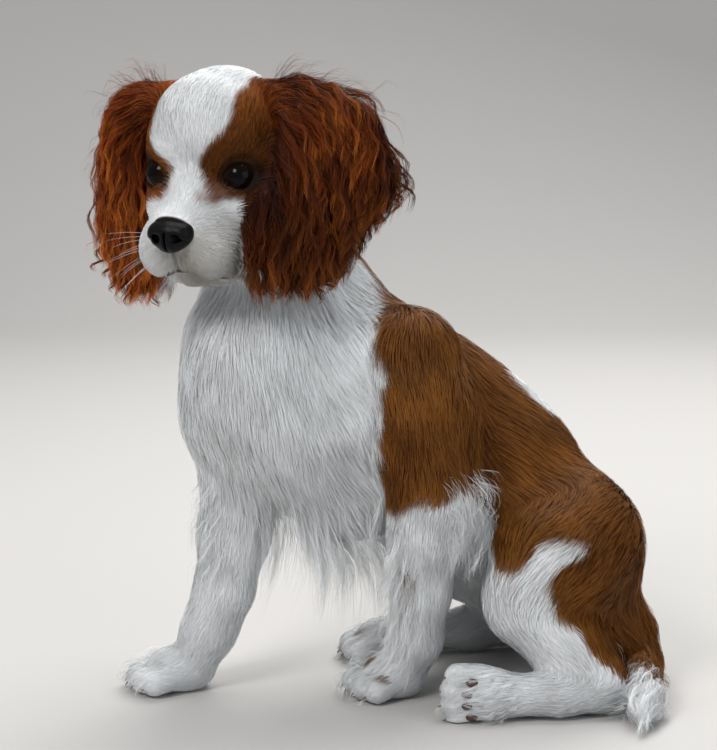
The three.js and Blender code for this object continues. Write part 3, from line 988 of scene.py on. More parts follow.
def limb_zones(group, stations, settings):
    """One zone for each length of a limb, with the hair running along it."""
    for a, b in zip(stations, stations[1:]):
        form = Blend(1, [Cone(a[:3], b[:3], a[3], b[3])])
        yield Zone(group, form, LAYOUT, np.subtract(b[:3], a[:3]), *settings)


# Length, height and width of the hair, and the strands in each square millimetre
LIMB_TOP = (14, 4.0, 0.35, 0.95)
FORELEG = (7.5, 1.8, 0.27, 1.5)
SHANK = (11, 2.6, 0.31, 1.15)
HOCK = (8.5, 1.9, 0.29, 1.4)
BACK = (18, 4.4, 0.34, 0.82)
RUMP = (17, 4.4, 0.34, 0.82)
EAR_BASE = (18, 3, 0.5, 0.35)

# Groups, forms, frames, the lie of the hair and its four numbers
ZONES = [
    Zone("head", Egg([58, 0, -46], [20, 25, 22]), HEAD, away_from_nose, 4.4, 1.0, 0.22, 2.5),
    Zone("head", Egg([24, 0, -14], [28, 40, 34]), HEAD, away_from_nose, 5.5, 1.1, 0.24, 2.3),
    Zone("head", Egg([4, 0, 10], [36, 40, 36]), HEAD, away_from_nose, 8.5, 1.9, 0.26, 1.9),
    Zone("head", Egg([12, 0, -62], [30, 30, 20]), HEAD, away_from_nose, 8, 2.0, 0.26, 1.5),
    Zone("neck", Cone([-64, -4, 275], [-50, 0, 240], 32, 40), LAYOUT, over_trunk, 18, 5.0, 0.26, 1.35),
    Zone("chest", Egg([-50, -14, 188], [52, 50, 60]), LAYOUT, over_trunk, 22, 5.4, 0.26, 1.35),
    Zone("belly", Cone([-36, 0, 150], [10, 16, 118], 36, 26), LAYOUT, over_trunk, 26, 6.0, 0.27, 1.1),
    Zone("back", Egg([22, 24, 168], [56, 50, 56]), LAYOUT, over_trunk, *BACK),
    Zone("back", Egg([80, 32, 118], [56, 50, 56]), LAYOUT, over_trunk, *BACK),
    Zone("back", Egg([130, 31, 66], [46, 52, 50]), LAYOUT, over_trunk, *RUMP),
    *limb_zones("arms", [(32, -20, 200, 27), (36, -28, 165, 28), (43, -31, 124, 21)], LIMB_TOP),
    *limb_zones("arms", [(-70, 8, 200, 26), (-76, 8, 160, 20), (-70, 8, 118, 17)], LIMB_TOP),
    *limb_zones(
        "forelegs",
        [(43, -31, 124, 21), (38, -24, 98, 16.5), (36, -18, 64, 12.5), (30, -11, 26, 11)],
        FORELEG,
    ),
    *limb_zones(
        "forelegs",
        [(-70, 8, 118, 17), (-73, 7, 92, 16.5), (-79, 5, 60, 13), (-94, 5, 26, 11)],
        FORELEG,
    ),
    *limb_zones("hindlegs", [(126, 2, 90, 37), (112, -20, 80, 33), (98, -32, 66, 21)], LIMB_TOP),
    *limb_zones("hindlegs", [(97, -33, 58, 20), (118, -40, 40, 16), (136, -44, 24, 12)], SHANK),
    *limb_zones("hindlegs", [(138, -48, 15, 12), (112, -54, 14, 10), (90, -57, 14, 10)], HOCK),
    *limb_zones("hindlegs", [(122, 62, 86, 34), (88, 74, 78, 28), (62, 76, 66, 21)], LIMB_TOP),
    *limb_zones("hindlegs", [(64, 79, 58, 18), (92, 86, 38, 14), (110, 92, 22, 12)], SHANK),
    *limb_zones("hindlegs", [(110, 96, 15, 12), (70, 88, 14, 11), (38, 77, 14, 11)], HOCK),
    *[
        Zone("feet", feet[name], place, (1, 0, -0.25), 6.0, 1.3, 0.24, 2.1)
        for name, (place, _, _) in FEET.items()
    ],
    *limb_zones("tail", [(152, 29, 52, 7), (166, 22, 34, 6)], (26, 8, 0.38, 1.2)),
    *limb_zones("tail", [(166, 22, 34, 6), (166, 0, 15, 6)], (30, 7, 0.38, 1.6)),
    *limb_zones("tail", [(166, 0, 15, 6), (164, -28, 13, 4.5)], (32, 6, 0.38, 1.8)),
    *limb_zones("tail", [(164, -28, 13, 4.5), (159, -72, 10, 3)], (32, 5, 0.38, 2.2)),
    Zone("ears", ears[1], HEAD, over_ear, *EAR_BASE),
    Zone("ears", ears[-1], HEAD, over_ear, *EAR_BASE),
]
GROUPS = sorted({zone.group for zone in ZONES})
ZONE_SOFT = 3.5  # distance over which neighbouring zones mix


def coat_at(p):
    """The lie of the coat at p, its numbers, and the group of the nearest zone."""
    distances = np.array([zone.form(zone.place.inside(p)) for zone in ZONES])
    nearest = distances.argmin(0)
    weights = np.exp(-(distances - distances.min(0)) / ZONE_SOFT)
    weights /= weights.sum(0)
    lie = sum(
        w[:, None] * zone.place.turned(zone.lie_at(zone.place.inside(p)))
        for w, zone in zip(weights, ZONES)
    )
    numbers = weights.T @ np.array([zone.numbers for zone in ZONES])
    group = np.array([GROUPS.index(zone.group) for zone in ZONES])[nearest]
    return lie, numbers, group


LIE_CELL = 6.0
lie_grid = Grid(sampled(lambda p: coat_at(p)[0], BOX_LOW, BOX_HIGH, LIE_CELL), BOX_LOW, LIE_CELL)


# Roots
class Roots:
    """Places on the skin where strands start."""

    FIELDS = ("points", "normals", "maps", "lie", "numbers", "group", "marks")

    def __init__(self, **values):
        for field in self.FIELDS:
            setattr(self, field, values[field])

    def __len__(self):
        return len(self.points)

    def where(self, chosen):
        return Roots(**{field: getattr(self, field)[chosen] for field in self.FIELDS})


def unwrap(piece):
    """Lays the skin out flat in the map that the coat's roots use too."""
    piece.data.uv_layers.new(name="OFBake")
    bpy.context.view_layer.objects.active = piece
    piece.select_set(True)
    bpy.ops.object.mode_set(mode="EDIT")
    bpy.ops.mesh.select_all(action="SELECT")
    bpy.ops.uv.smart_project(angle_limit=math.radians(70), island_margin=0.001)
    bpy.ops.object.mode_set(mode="OBJECT")
    piece.select_set(False)


def skin_triangles(piece):
    mesh = piece.data
    mesh.calc_loop_triangles()
    corners = np.empty(len(mesh.loop_triangles) * 3, np.int32)
    loops = np.empty(len(mesh.loop_triangles) * 3, np.int32)
    mesh.loop_triangles.foreach_get("vertices", corners)
    mesh.loop_triangles.foreach_get("loops", loops)
    maps = np.empty(len(mesh.loops) * 2, np.float32)
    mesh.uv_layers["OFBake"].uv.foreach_get("vector", maps)
    return corners.reshape(-1, 3), maps.reshape(-1, 2)[loops].reshape(-1, 3, 2)


def bald_share(p, h):
    """1 where no hair grows: inside the lids, on the lips, nose and pads, and under the figure."""
    bald = np.minimum(1.3 * face_darkness(h), 1)
    bald = np.maximum(bald, step_up(-p[:, 2], -3.5, -1.5))
    place = FEET["hind_foot_left"][0]
    f = place.inside(p)
    pads = pad_form(f)
    return np.maximum(bald, step_up(-pads, -0.3, 1.2))


def pad_form(f):
    """The pads under a foot, in its frame."""
    found = Egg([-2.0, 0, 2.2], [4.2, 4.6, 3.4])(f)
    for side in SIDES:
        found = soft_min(found, Egg([-4.4, side * 4.4, 2.2], [3.4, 3.0, 3.2])(f), 2)
    for step in TOE_STEPS:
        inner = 1 - abs(step) / 3
        found = np.minimum(found, Egg([6.5 + 7.5 * inner, step * 6.6, 2.4], [3.5, 2.4, 3.2])(f))
    return found


def scatter(density_scale):
    points, normals = points_of(skin), normals_of(skin)
    corners, maps = skin_triangles(skin)
    a, b, c = (points[corners[:, k]] for k in range(3))
    area = size_of(np.cross(b - a, c - a)) / 2
    middles = (a + b + c) / 3
    _, numbers, _ = coat_at(middles)
    wanted = area * numbers[:, 3] * (1 - bald_share(middles, HEAD.inside(middles)))
    total = np.cumsum(wanted)
    count = int(total[-1] * density_scale)
    chosen = np.searchsorted(total, rng.random(count) * total[-1])
    u, v = np.sqrt(rng.random(count)), rng.random(count)
    shares = np.stack([1 - u, u * (1 - v), u * v], 1)[:, :, None]
    at = (points[corners[chosen]] * shares).sum(1)
    keep = rng.random(count) > bald_share(at, HEAD.inside(at))
    at, chosen, shares = at[keep], chosen[keep], shares[keep]
    lie, numbers, group = coat_at(at)
    return Roots(
        points=at,
        normals=unit((normals[corners[chosen]] * shares).sum(1)),
        maps=(maps[chosen] * shares).sum(1),
        lie=lie,
        numbers=numbers,
        group=group,
        marks=marks_at(at),
    )


# Strands
PATCH = 0.003  # width of a strand's patch in the map
MOST_TRIANGLES = 190000  # in one piece
HAIR_REACH = 10.0  # how far hair stands out of the figure's box before it bends
HAIR_BEND = 5.0
TUFT_REACH = 9.0  # a strand further than this from a tuft's middle stays out of it


def along_skin(v, normals):
    return unit(v - (v * normals).sum(1, keepdims=True) * normals)


def comb(points, normals, lie, length, height, pieces, wander=0.22, rough=0.10, settle_to_lie=0.35):
    """Paths of strands over the skin, an array of strands by places along them."""
    count = len(points)
    turn = wander * waves(points, 16) + rough * rng.normal(size=count)
    heading = along_skin(lie, normals)
    across = np.cross(normals, heading)
    heading = heading * np.cos(turn)[:, None] + across * np.sin(turn)[:, None]
    here = points.copy()
    path = [here]
    for step in range(1, pieces + 1):
        share = step / pieces
        here = here + heading * (length / pieces)[:, None]
        distance, away = skin_near(here)
        rise = height * math.sin(min(share * 1.35, 1.0) * math.pi / 2) * (1 - 0.15 * share)
        here = here + away * np.clip(rise - distance, -4, 4)[:, None]
        here[:, 2] = np.maximum(here[:, 2], 0.25 + 0.3 * share)
        path.append(here)
        flow = lie_grid.read(here)
        heading = along_skin(unit(here - path[-2]) + settle_to_lie * unit(flow), away)
    return np.stack(path, 1)


def nearest_of(places, starts):
    """Which of the places is nearest to each start."""
    tree = KDTree(len(places))
    for n, place in enumerate(places):
        tree.insert(place, n)
    tree.balance()
    return np.array([tree.find(start)[1] for start in starts])


def gather(paths, spread, pull):
    """Draws the strands' tips together into tufts of about spread across."""
    count = len(paths)
    if not count:
        return paths
    leaders = rng.permutation(count)[: max(1, int(count / spread))]
    follow = leaders[nearest_of(paths[leaders, 0], paths[:, 0])]
    share = np.linspace(0, 1, paths.shape[1]) ** 1.4
    offset = (paths[follow] - paths) * (pull * share)[None, :, None]
    far = size_of(paths[follow, 0] - paths[:, 0]) > TUFT_REACH
    offset[far] = 0
    return paths + offset


def held_in(paths):
    """Bends the hairs that reach far out of the figure's box back towards it."""
    low, high = np.array(cad_box) / MM
    over = np.maximum(paths - high - HAIR_REACH, 0)
    under = np.maximum(low - HAIR_REACH - paths, 0)
    kept = HAIR_BEND * (np.tanh(over / HAIR_BEND) - np.tanh(under / HAIR_BEND))
    return paths - over + under + kept


def ribbons(name, paths, outward, width, colours, maps, slot, roll=0.45):
    """One mesh of thin tapered ribbons, each a patch of the map at its root's place."""
    paths = held_in(paths)
    count, places = paths.shape[:2]
    rings = places - 1
    tangent = unit(np.gradient(paths, axis=1))
    outward = unit(outward - (outward * tangent).sum(-1, keepdims=True) * tangent)
    across = np.cross(tangent, outward)
    tilt = rng.normal(0, roll, count)[:, None, None]
    side = across * np.cos(tilt) + outward * np.sin(tilt)
    facing = unit(outward * np.cos(tilt) - across * np.sin(tilt) + 1.3 * outward)
    share = np.linspace(0, 1, places)
    taper = (0.75 + 0.6 * share - 1.1 * share**2)[None, :, None]
    half = side * (width[:, None, None] / 2) * taper
    verts = np.empty((count, 2 * rings + 1, 3))
    verts[:, 0:-1:2] = paths[:, :-1] - half[:, :-1]
    verts[:, 1:-1:2] = paths[:, :-1] + half[:, :-1]
    verts[:, -1] = paths[:, -1]
    verts[..., 2] = np.maximum(verts[..., 2], 0.15)
    spread = np.empty_like(verts)
    spread[:, 0:-1:2] = facing[:, :-1]
    spread[:, 1:-1:2] = facing[:, :-1]
    spread[:, -1] = facing[:, -1]
    shares = np.repeat(share, 2)[: 2 * rings + 1]
    faces = [[2 * k, 2 * k + 1, 2 * k + 3, 2 * k + 2] for k in range(rings - 1)]
    tip = [2 * rings - 2, 2 * rings - 1, 2 * rings]
    loops = np.array([corner for face in faces for corner in face] + tip)
    sizes = np.array([4] * (rings - 1) + [3])
    per_strand = 2 * rings + 1
    all_loops = (loops[None, :] + per_strand * np.arange(count)[:, None]).ravel()
    all_sizes = np.tile(sizes, count)
    mesh = bpy.data.meshes.new(name)
    mesh.vertices.add(count * per_strand)
    mesh.loops.add(len(all_loops))
    mesh.polygons.add(len(all_sizes))
    mesh.vertices.foreach_set("co", (verts * MM).astype(np.float32).ravel())
    mesh.loops.foreach_set("vertex_index", all_loops.astype(np.int32))
    starts = np.concatenate([[0], np.cumsum(all_sizes)[:-1]])
    mesh.polygons.foreach_set("loop_start", starts.astype(np.int32))
    mesh.polygons.foreach_set("use_smooth", np.ones(len(all_sizes), bool))
    mesh.update(calc_edges=True)
    edge = np.tile([-1.0, 1.0], rings).tolist() + [0.0]
    patch = np.stack([np.array(edge), 2 * shares - 1], 1) * PATCH / 2
    uv = (maps[:, None, :] + patch[None]).reshape(-1, 2)[all_loops]
    layer = mesh.uv_layers.new(name="OFBake")
    layer.uv.foreach_set("vector", uv.astype(np.float32).ravel())
    mesh.normals_split_custom_set_from_vertices(spread.reshape(-1, 3).astype(np.float32))
    piece = object_of(name, mesh)
    set_colours(piece, colours.reshape(-1, 3))
    mesh.materials.append(hair_finish)
    place_piece(piece, slot)
    return piece


def grow(name, roots, paths, width, outward=None, tone=None, slot="white_coat"):
    """Makes one or more pieces from strands, with the colours of their roots."""
    if outward is None:
        flat = paths.reshape(-1, 3)
        outward = skin_near(flat)[1].reshape(paths.shape)
    if tone is None:
        tone = 1 + 0.16 * rng.normal(size=len(roots)) + 0.12 * waves(roots.points, 9)
        tone = np.clip(tone, 0.55, 1.5)
    per_strand = 2 * (paths.shape[1] - 2) + 1
    most = MOST_TRIANGLES // per_strand
    pieces = max(1, math.ceil(len(roots) / most))
    shares = np.linspace(0, 1, paths.shape[1])
    for n in range(pieces):
        part = slice(n * len(roots) // pieces, (n + 1) * len(roots) // pieces)
        colours = [coat_colour(roots.marks[part], share, tone[part]) for share in shares]
        colours = np.repeat(np.stack(colours, 1), 2, axis=1)[:, :-1]
        label = f"{name}_{n + 1}" if pieces > 1 else name
        ribbons(label, paths[part], outward[part], width[part], colours, roots.maps[part], slot)


unwrap(skin)
all_roots = scatter(HAIR_SHARE)

PIECES = {  # straight lengths in a strand
    "head": 2, "feet": 2, "forelegs": 2, "arms": 2, "hindlegs": 2, "back": 3,
    "neck": 3, "chest": 4, "belly": 4, "tail": 4, "ears": 3,
}
TUFT = {  # strands in a tuft, and how far their tips are drawn together
    "head": (3, 0.2), "feet": (4, 0.3), "forelegs": (3, 0.15), "arms": (6, 0.25), "hindlegs": (4, 0.2),
    "back": (6, 0.28), "neck": (4, 0.2), "chest": (4, 0.2), "belly": (6, 0.3), "tail": (6, 0.3),
    "ears": (8, 0.5),
}
for n, group in enumerate(GROUPS):
    roots = all_roots.where(all_roots.group == n)
    chestnut = roots.marks[:, 0] > 0.5
    length, height, width, _ = roots.numbers.T
    length = length * rng.uniform(0.7, 1.2, len(roots))
    height = height * rng.uniform(0.35, 1.0, len(roots))
    paths = comb(roots.points, roots.normals, roots.lie, length, height, PIECES[group])
    paths = gather(paths, *TUFT[group])
    for colour, chosen in (("white", ~chestnut), ("chestnut", chestnut)):
        if chosen.any():
            name, slot = f"coat_{group}_{colour}", f"{colour}_coat"
            grow(name, roots.where(chosen), paths[chosen], width[chosen], slot=slot)


# Long hair that hangs in locks: the ears, the feathering and the tail
LOCK_STEPS = 14


def hang(points, lie, length, height, pieces, fall):
    """Paths that leave the skin, follow the lie of the coat and droop by fall."""
    here = points.copy()
    heading = lie
    path = [here]
    for step in range(1, pieces + 1):
        share = step / pieces
        before = here
        here = here + heading * (length / pieces)[:, None]
        distance, away = skin_near(here)
        rise = height * min(1.0, 2.2 * share)
        here = here + away * np.clip(rise - distance, -0.4, 5)[:, None]
        here[:, 2] = np.maximum(here[:, 2], 0.4 + share)
        path.append(here)
        flow = unit(lie_grid.read(here))
        heading = unit(unit(here - before) + 0.35 * flow + fall * share * np.array([0, 0, -1]))
    return np.stack(path, 1)


def between(paths, at):
    """Points at the given shares of the way along each path."""
    last = paths.shape[1] - 1
    place = np.clip(at * last, 0, last - 1e-6)
    base = place.astype(int)
    share = (place - base)[..., None]
    rows = np.arange(len(paths))[:, None]
    return paths[rows, base] * (1 - share) + paths[rows, base + 1] * share


def hang_locks(name, roots, count, strands, length, height, *, slot, radius, wave, wave_length, pieces,
               width, frizz, fall=0.35, tip_gather=0.25, tone_spread=0.2, lean=(0, 0, 0)):
    """Locks of strands that share one wavy path each."""
    if not len(roots):
        return
    count = min(max(1, int(count * HAIR_SHARE)), len(roots))
    chosen = rng.permutation(len(roots))[:count]
    roots = roots.where(chosen)
    length = length[chosen]
    height = height[chosen]
    heading = unit(along_skin(roots.lie, roots.normals) + LAYOUT.turned(lean))
    paths = hang(roots.points, heading, length, height, LOCK_STEPS, fall)
    share = np.linspace(0, 1, LOCK_STEPS + 1)
    tangent = unit(np.gradient(paths, axis=1))
    outward = skin_near(paths.reshape(-1, 3))[1].reshape(paths.shape)
    across = unit(np.cross(tangent, outward))
    phase = 2 * math.pi * rng.random(count)[:, None] * 0.5 + 3 * waves(roots.points, 30)[:, None]
    turns = 2 * math.pi * share[None, :] * (length / wave_length)[:, None]
    turns = turns * rng.uniform(0.8, 1.25, (count, 1))
    swing = wave * rng.uniform(0.5, 1.3, (count, 1)) * step_up(share, 0, 0.45)
    paths = paths + across * (swing * np.sin(turns + phase))[..., None]
    paths = paths + outward * (0.6 * swing * (1 + np.cos(turns + phase)))[..., None]
    owner = np.repeat(np.arange(count), strands)
    total = len(owner)
    reach = rng.uniform(0.72, 1.04, total)
    at = np.linspace(0, 1, pieces + 1)[None, :] * np.minimum(reach, 1.0)[:, None]
    body = between(paths[owner], at)
    side = between(across[owner], at)
    out = between(outward[owner], at)
    angle = rng.uniform(0, 2 * math.pi, total)
    far = np.sqrt(rng.random(total)) * radius
    profile = 0.8 + 0.7 * at - (1.5 - tip_gather) * at**2
    twist = angle[:, None] + 1.2 * np.sin(2 * at + angle[:, None])
    offset = side * (np.cos(twist) * profile * far[:, None])[..., None]
    offset = offset + out * (0.7 * np.sin(twist) * profile * far[:, None])[..., None]
    stray = rng.normal(0, frizz * radius, (total, 1, 3)) * step_up(at, 0.2, 1)[..., None]
    strands_paths = body + offset + stray
    facing = unit(0.75 * out + unit(offset + 1e-6))
    lock_tone = np.clip(1 + tone_spread * rng.normal(size=count), 0.5, 1.6)[owner]
    tone = lock_tone * np.clip(1 + 0.14 * rng.normal(size=total), 0.6, 1.4)
    # Strands on a lock's outer side are painted lighter and those towards the skin darker: painted light
    # and shade across each lock.
    tone = tone * (1 + 0.18 * np.sin(angle))
    grow(name, roots.where(owner), strands_paths, np.full(total, width), facing, tone, slot)


ear_roots = all_roots.where(all_roots.group == GROUPS.index("ears"))
ear_h = HEAD.inside(ear_roots.points)
front = (ear_h[:, 0] > 12) & (ear_h[:, 1] < 52) & (ear_h[:, 2] > -66) & (ear_h[:, 2] < 18)
for label, side, chosen, locks, strands in (
    ("ear_locks_left", 1, ear_h[:, 1] > 0, 540, 20),
    ("ear_locks_front", 1, front & (ear_h[:, 1] > 0), 130, 16),
    ("ear_locks_right", -1, ear_h[:, 1] < 0, 370, 20),
):
    on_side = ear_roots.where(chosen)
    z = ear_h[chosen, 2]
    y = np.abs(ear_h[chosen, 1])
    outer = step_up(y, 55, 112) if side > 0 else step_up(y, 62, 92)
    bottom = (-82 if side > 0 else -94) + 50 * outer + 25 * step_up(-y, -40, -18)
    length = np.clip((z - bottom) * 1.05 + 3, 10, 62) * rng.uniform(0.75, 1.08, len(z))
    height = rng.uniform(1.0, EAR_DEPTH, len(z)) * (0.5 + 0.5 * step_up(-z, -26, 6))
    lean = (-0.6, -0.25, 0) if label == "ear_locks_front" else (0, 0, 0)
    hang_locks(label, on_side, locks, strands, length, height, slot="chestnut_coat", tone_spread=0.3,
               radius=3.1, wave=2.5, wave_length=22, width=0.33, pieces=7, frizz=0.2, lean=lean)


def wisps(name, chosen, count, strands, length, height, slot="white_coat", white=False, **settings):
    """Feathering from the roots that chosen picks: so many locks and strands in each, and their size."""
    roots = all_roots.where(chosen)
    if white:
        roots.marks = roots.marks * [0, 1, 1, 1, 1, 1]
    each = length * rng.uniform(0.65, 1.2, len(roots))
    high = height * rng.uniform(0.4, 1.1, len(roots))
    hang_locks(name, roots, count, strands, each, high, slot=slot, **settings)


root_q = LAYOUT.inside(all_roots.points)
root_h = HEAD.inside(all_roots.points)
root_out = all_roots.normals @ LAYOUT.axes.T
x, y, z = root_q.T


def of_group(*names):
    return np.isin(all_roots.group, [GROUPS.index(name) for name in names])


fine = {
    "radius": 4.2, "wave": 1.6, "wave_length": 38, "pieces": 6, "width": 0.17,
    "tip_gather": 0.5, "frizz": 0.28,
}
flyaway = {
    "slot": "chestnut_coat", "radius": 3.0, "wave": 2.5, "wave_length": 34, "pieces": 6, "width": 0.12,
    "frizz": 0.4,
}
arm_back = of_group("arms", "forelegs") & (root_out[:, 0] > 0.25)
elbow = of_group("arms", "forelegs", "back") & (np.abs(x - 57) < 10) & (z > 94) & (z < 141) & (y < 0)
wisps("elbow_feather_left", elbow, 200, 5, 26, 8, fall=0.15, lean=(0.45, -0.8, 0.7), white=True,
      **{**fine, "radius": 6.0, "width": 0.13, "frizz": 0.34})
wisps("foreleg_feather_left", arm_back & (x > 20) & (z <= 104) & (z > 30), 190, 6, 31, 9, fall=0.12,
      lean=(0.9, -0.2, 0.2), **fine)
wisps("elbow_feather_right", arm_back & (x < -20) & (z < 130) & (z > 80), 40, 9, 24, 5, fall=0.2, **fine)
wisps("belly_fringe", of_group("belly", "chest") & (z < 132) & (x < 34), 300, 9, 68, 8, fall=0.7, **fine)
facing_front = root_out[:, 0] < -0.3
breast = of_group("chest", "neck") & facing_front & (x < -50) & (z < 260)
wisps("chest_fringe", breast, 150, 7, 26, 9, fall=0.15, **fine)
thigh = of_group("hindlegs") & facing_front & (x < 112) & (y < 20) & (z > 30)
wisps("thigh_feather", thigh, 60, 8, 20, 6, fall=0.2, **fine)
wisps("tail_plume", of_group("tail") & (y < -4), 210, 16, 31, 5, fall=0.1,
      **{**fine, "radius": 5.0, "wave_length": 50, "frizz": 0.25})
wisps("ear_flyaways", of_group("ears") & (root_h[:, 2] > 12), 200, 3, 27, 12, fall=0.0, lean=(0, 0, 1.1),
      **flyaway)
far_edge = of_group("ears") & (root_h[:, 1] < -62) & (root_h[:, 2] > -70)
wisps("ear_flyaways_far", far_edge, 70, 3, 24, 10, fall=0.1, lean=(-1.0, 0, 0.1), **flyaway)
wisps("heel_tufts", of_group("feet", "forelegs") & (z < 24) & (root_out[:, 0] > 0.3), 60, 9, 13, 3, **fine)
sole = FEET["hind_foot_left"][0].inside(all_roots.points)
on_sole = (np.abs(sole[:, 0] + 2) < 14) & (np.abs(sole[:, 1]) < 13) & (sole[:, 2] < 5)
wisps("sole_tufts", on_sole & of_group("feet", "hindlegs"), 60, 8, 13, 2.5, fall=0.25,
      **{**fine, "radius": 2.0})


# Whiskers
WHISKER_WIDTH = 0.13
WHISKERS = {1: (2, 2, 13), -1: (4, 3, 29)}  # rows, whiskers in a row and their length on each side


def whiskers():
    """Thin bristles in rows on the lips, longer on the right side than on the left."""
    starts, ends, bends = [], [], []
    for side in SIDES:
        rows, steps, longest = WHISKERS[side]
        for row in range(rows):
            for step in range(steps):
                start = np.array([57 - 6 * step, side * (16.5 + 2.5 * step), -45 - 4.2 * row])
                reach = longest + 3 * step + rng.uniform(-6, 6)
                aim = unit(np.array([0.35 - 0.25 * step, side, 0.05 - 0.22 * row]))
                starts.append(start)
                bends.append(start + aim * reach * 0.5)
                ends.append(start + aim * reach + [-5, 0, -6])
    t = np.linspace(0, 1, 11)[None, :, None]
    starts, bends, ends = (np.array(rows)[:, None, :] for rows in (starts, bends, ends))
    q = starts * (1 - t) ** 2 + bends * 2 * t * (1 - t) + ends * t**2
    paths = HEAD.outside(q)
    outward = np.broadcast_to(HEAD.turned([1, 0, 0.3]), paths.shape)
    count = len(paths)
    owner = all_roots.where(of_group("head"))
    maps = owner.maps[nearest_of(owner.points, paths[:, 0])]
    colours = np.broadcast_to(WHITE, (count, 2 * paths.shape[1] - 1, 3))
    width = np.full(count, WHISKER_WIDTH)
    ribbons("whiskers", paths, outward, width, colours, maps, "white_coat", roll=0.1)


whiskers()


# Claws and pads
CLAW_LENGTH = 7.0
CLAW_DROP = 3.4
CLAW_RADIUS = 1.25
PAD_CELL = 0.8
PAD_BOX = np.array([[-12.0, -16.0, -4.0], [28.0, 16.0, 7.0]])  # round the pads, in a foot's frame


def tube(path, radii, sides=10):
    """Rings of points along a path, closed at both ends."""
    tangent = unit(np.gradient(path, axis=0))
    side = unit(np.cross(tangent, [0.31, 0.17, 0.93]))
    other = np.cross(tangent, side)
    around = np.linspace(0, 2 * math.pi, sides, endpoint=False)[None, :, None]
    ring = np.cos(around) * side[:, None] + np.sin(around) * other[:, None]
    points = (path[:, None] + ring * radii[:, None, None]).reshape(-1, 3)
    faces = []
    for k in range(len(path) - 1):
        for s in range(sides):
            n = (s + 1) % sides
            faces.append([k * sides + s, k * sides + n, (k + 1) * sides + n, (k + 1) * sides + s])
    ends = [list(range(sides))[::-1], [(len(path) - 1) * sides + s for s in range(sides)]]
    return points, faces + ends


def joined_piece(name, parts, finish):
    points, faces = [], []
    for some_points, some_faces in parts:
        start = sum(len(rows) for rows in points)
        points.append(some_points)
        faces += [[corner + start for corner in face] for face in some_faces]
    piece = mesh_piece(name, np.concatenate(points), faces)
    piece.data.materials.append(finish)
    return piece


def claws():
    """A short curved claw on each toe."""
    parts = []
    for place, spread, reach in FEET.values():
        for step in TOE_STEPS:
            _, end = toe_line(step, spread, reach)
            start = np.array(end) + [3.0, 0, -0.6]
            t = np.linspace(0, 1, 7)[:, None]
            curve = start + t * [CLAW_LENGTH, step * 0.3, 0.2] + t**2 * [-1.2, 0, -CLAW_DROP]
            path = place.outside(curve)
            path[:, 2] = np.maximum(path[:, 2], 0.6)
            parts.append(tube(path, CLAW_RADIUS * (1 - 0.82 * t[:, 0] ** 1.3)))
    return joined_piece("claws", parts, claw_finish)


def pads():
    parts = []
    low, high = PAD_BOX
    for place, _, _ in FEET.values():

        def clipped(f):
            return soft_max(pad_form(f), 0.3 - place.outside(f)[:, 2], 0.6)

        points, quads = surface_of(sampled(clipped, low, high, PAD_CELL), low, PAD_CELL)
        parts.append((place.outside(points), quads))
    return joined_piece("pads", parts, pad_finish)


pad_finish = material("paw_pad", 0.8, specular=0.2, colour=(0.090, 0.052, 0.045))
add_bump(pad_finish, 0.0009, 0.7, 0.0003)
place_piece(claws(), "nose_leather")
place_piece(pads(), "nose_leather")

place_piece(skin, "white_coat", *FLESH)


# Stage: floor, light and camera
CAMERA_PLACE = (0, -1300, 385)  # in the layout
CAMERA_PITCH = math.radians(8.61)
FOCAL = 2275 / 750  # focal length over the height of the picture
# The stage, in metres
STAGE_HALF = 3.0
STAGE_BACK = 1.6
STAGE_CURVE = 0.8
STAGE_TOP = 4.0
STAGE_COLOUR = (0.52, 0.51, 0.50)
STUDIO_COLOUR = (0.86, 0.89, 0.93, 1)
STUDIO_STRENGTH = 0.40
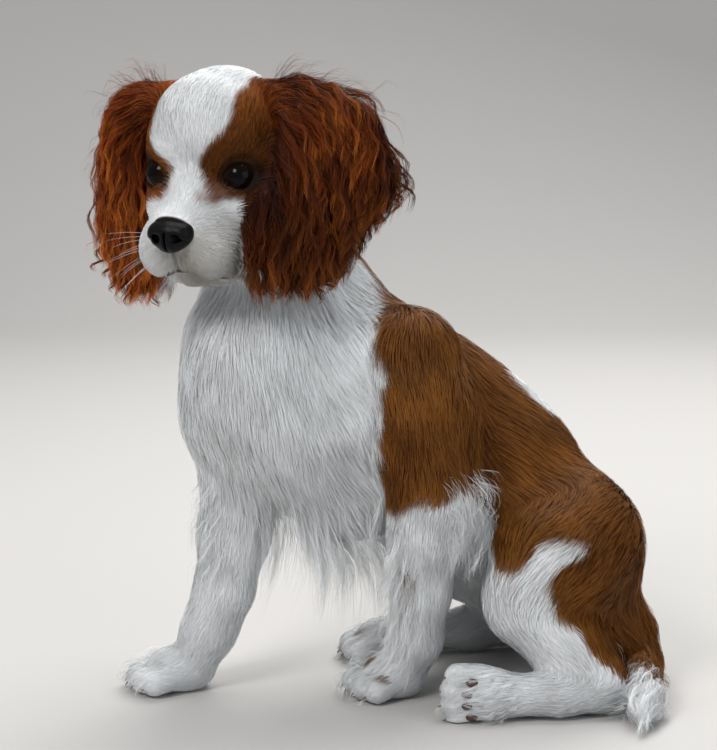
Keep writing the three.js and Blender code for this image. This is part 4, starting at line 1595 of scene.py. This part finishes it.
# Name, place, target, size, power and colour of each lamp
LAMPS = (
    ("key", (-900, -1400, 1600), (0, 0, 200), 0.7, 25, (1.0, 0.985, 0.96)),
    ("fill", (1500, -1300, 700), (0, 0, 150), 1.4, 8, (0.93, 0.96, 1.0)),
    ("top", (100, 300, 1700), (0, 0, 150), 1.2, 20, (1.0, 0.99, 0.97)),
    ("rim", (500, 1300, 1400), (20, 0, 200), 1.0, 20, (1.0, 0.98, 0.95)),
)


def to_stage(x, y, z):
    return Vector(LAYOUT.outside([x, y, z]) * MM)


def stage_floor():
    """A pale floor that curves up behind the figure."""
    profile = [(-STAGE_HALF, 0.0), (STAGE_BACK, 0.0)]
    for a in np.linspace(0.1, math.pi / 2, 14):
        profile.append((STAGE_BACK + math.sin(a) * STAGE_CURVE, (1 - math.cos(a)) * STAGE_CURVE))
    profile.append((STAGE_BACK + STAGE_CURVE, STAGE_TOP))
    points = []
    for x in (-STAGE_HALF * 1.5, STAGE_HALF * 1.5):
        for y, z in profile:
            points.append(LAYOUT.outside([x / MM, y / MM, z / MM]))
    count = len(profile)
    faces = [[i, i + count, i + count + 1, i + 1] for i in range(count - 1)]
    piece = mesh_piece("floor", np.array(points), faces)
    piece.data.materials.append(material("pale_floor", 0.8, specular=0.2, colour=STAGE_COLOUR))
    return piece


def area_light(name, place, target, size, power, colour):
    data = bpy.data.lights.new(name, "AREA")
    data.size = size
    data.energy = power
    data.color = colour
    lamp = object_of(name, data)
    lamp.location = to_stage(*place)
    lamp.rotation_euler = (to_stage(*target) - lamp.location).to_track_quat("-Z", "Y").to_euler()


stage_floor()
for lamp in LAMPS:
    area_light(*lamp)

world = bpy.data.worlds.new("studio")
world.use_nodes = True
light = world.node_tree.nodes["Background"]
light.inputs["Color"].default_value = STUDIO_COLOUR
light.inputs["Strength"].default_value = STUDIO_STRENGTH
bpy.context.scene.world = world
bpy.context.scene.view_settings.view_transform = "Standard"

camera_data = bpy.data.cameras.new("camera")
camera_data.sensor_width = 36
camera_data.lens = FOCAL * camera_data.sensor_width
camera_data.clip_start = 0.05
camera = object_of("camera", camera_data)
camera.location = to_stage(*CAMERA_PLACE)
gaze = Vector(LAYOUT.turned([0, math.cos(CAMERA_PITCH), -math.sin(CAMERA_PITCH)]))
camera.rotation_euler = gaze.to_track_quat("-Z", "Y").to_euler()
bpy.context.scene.camera = camera

bpy.context.view_layer.update()
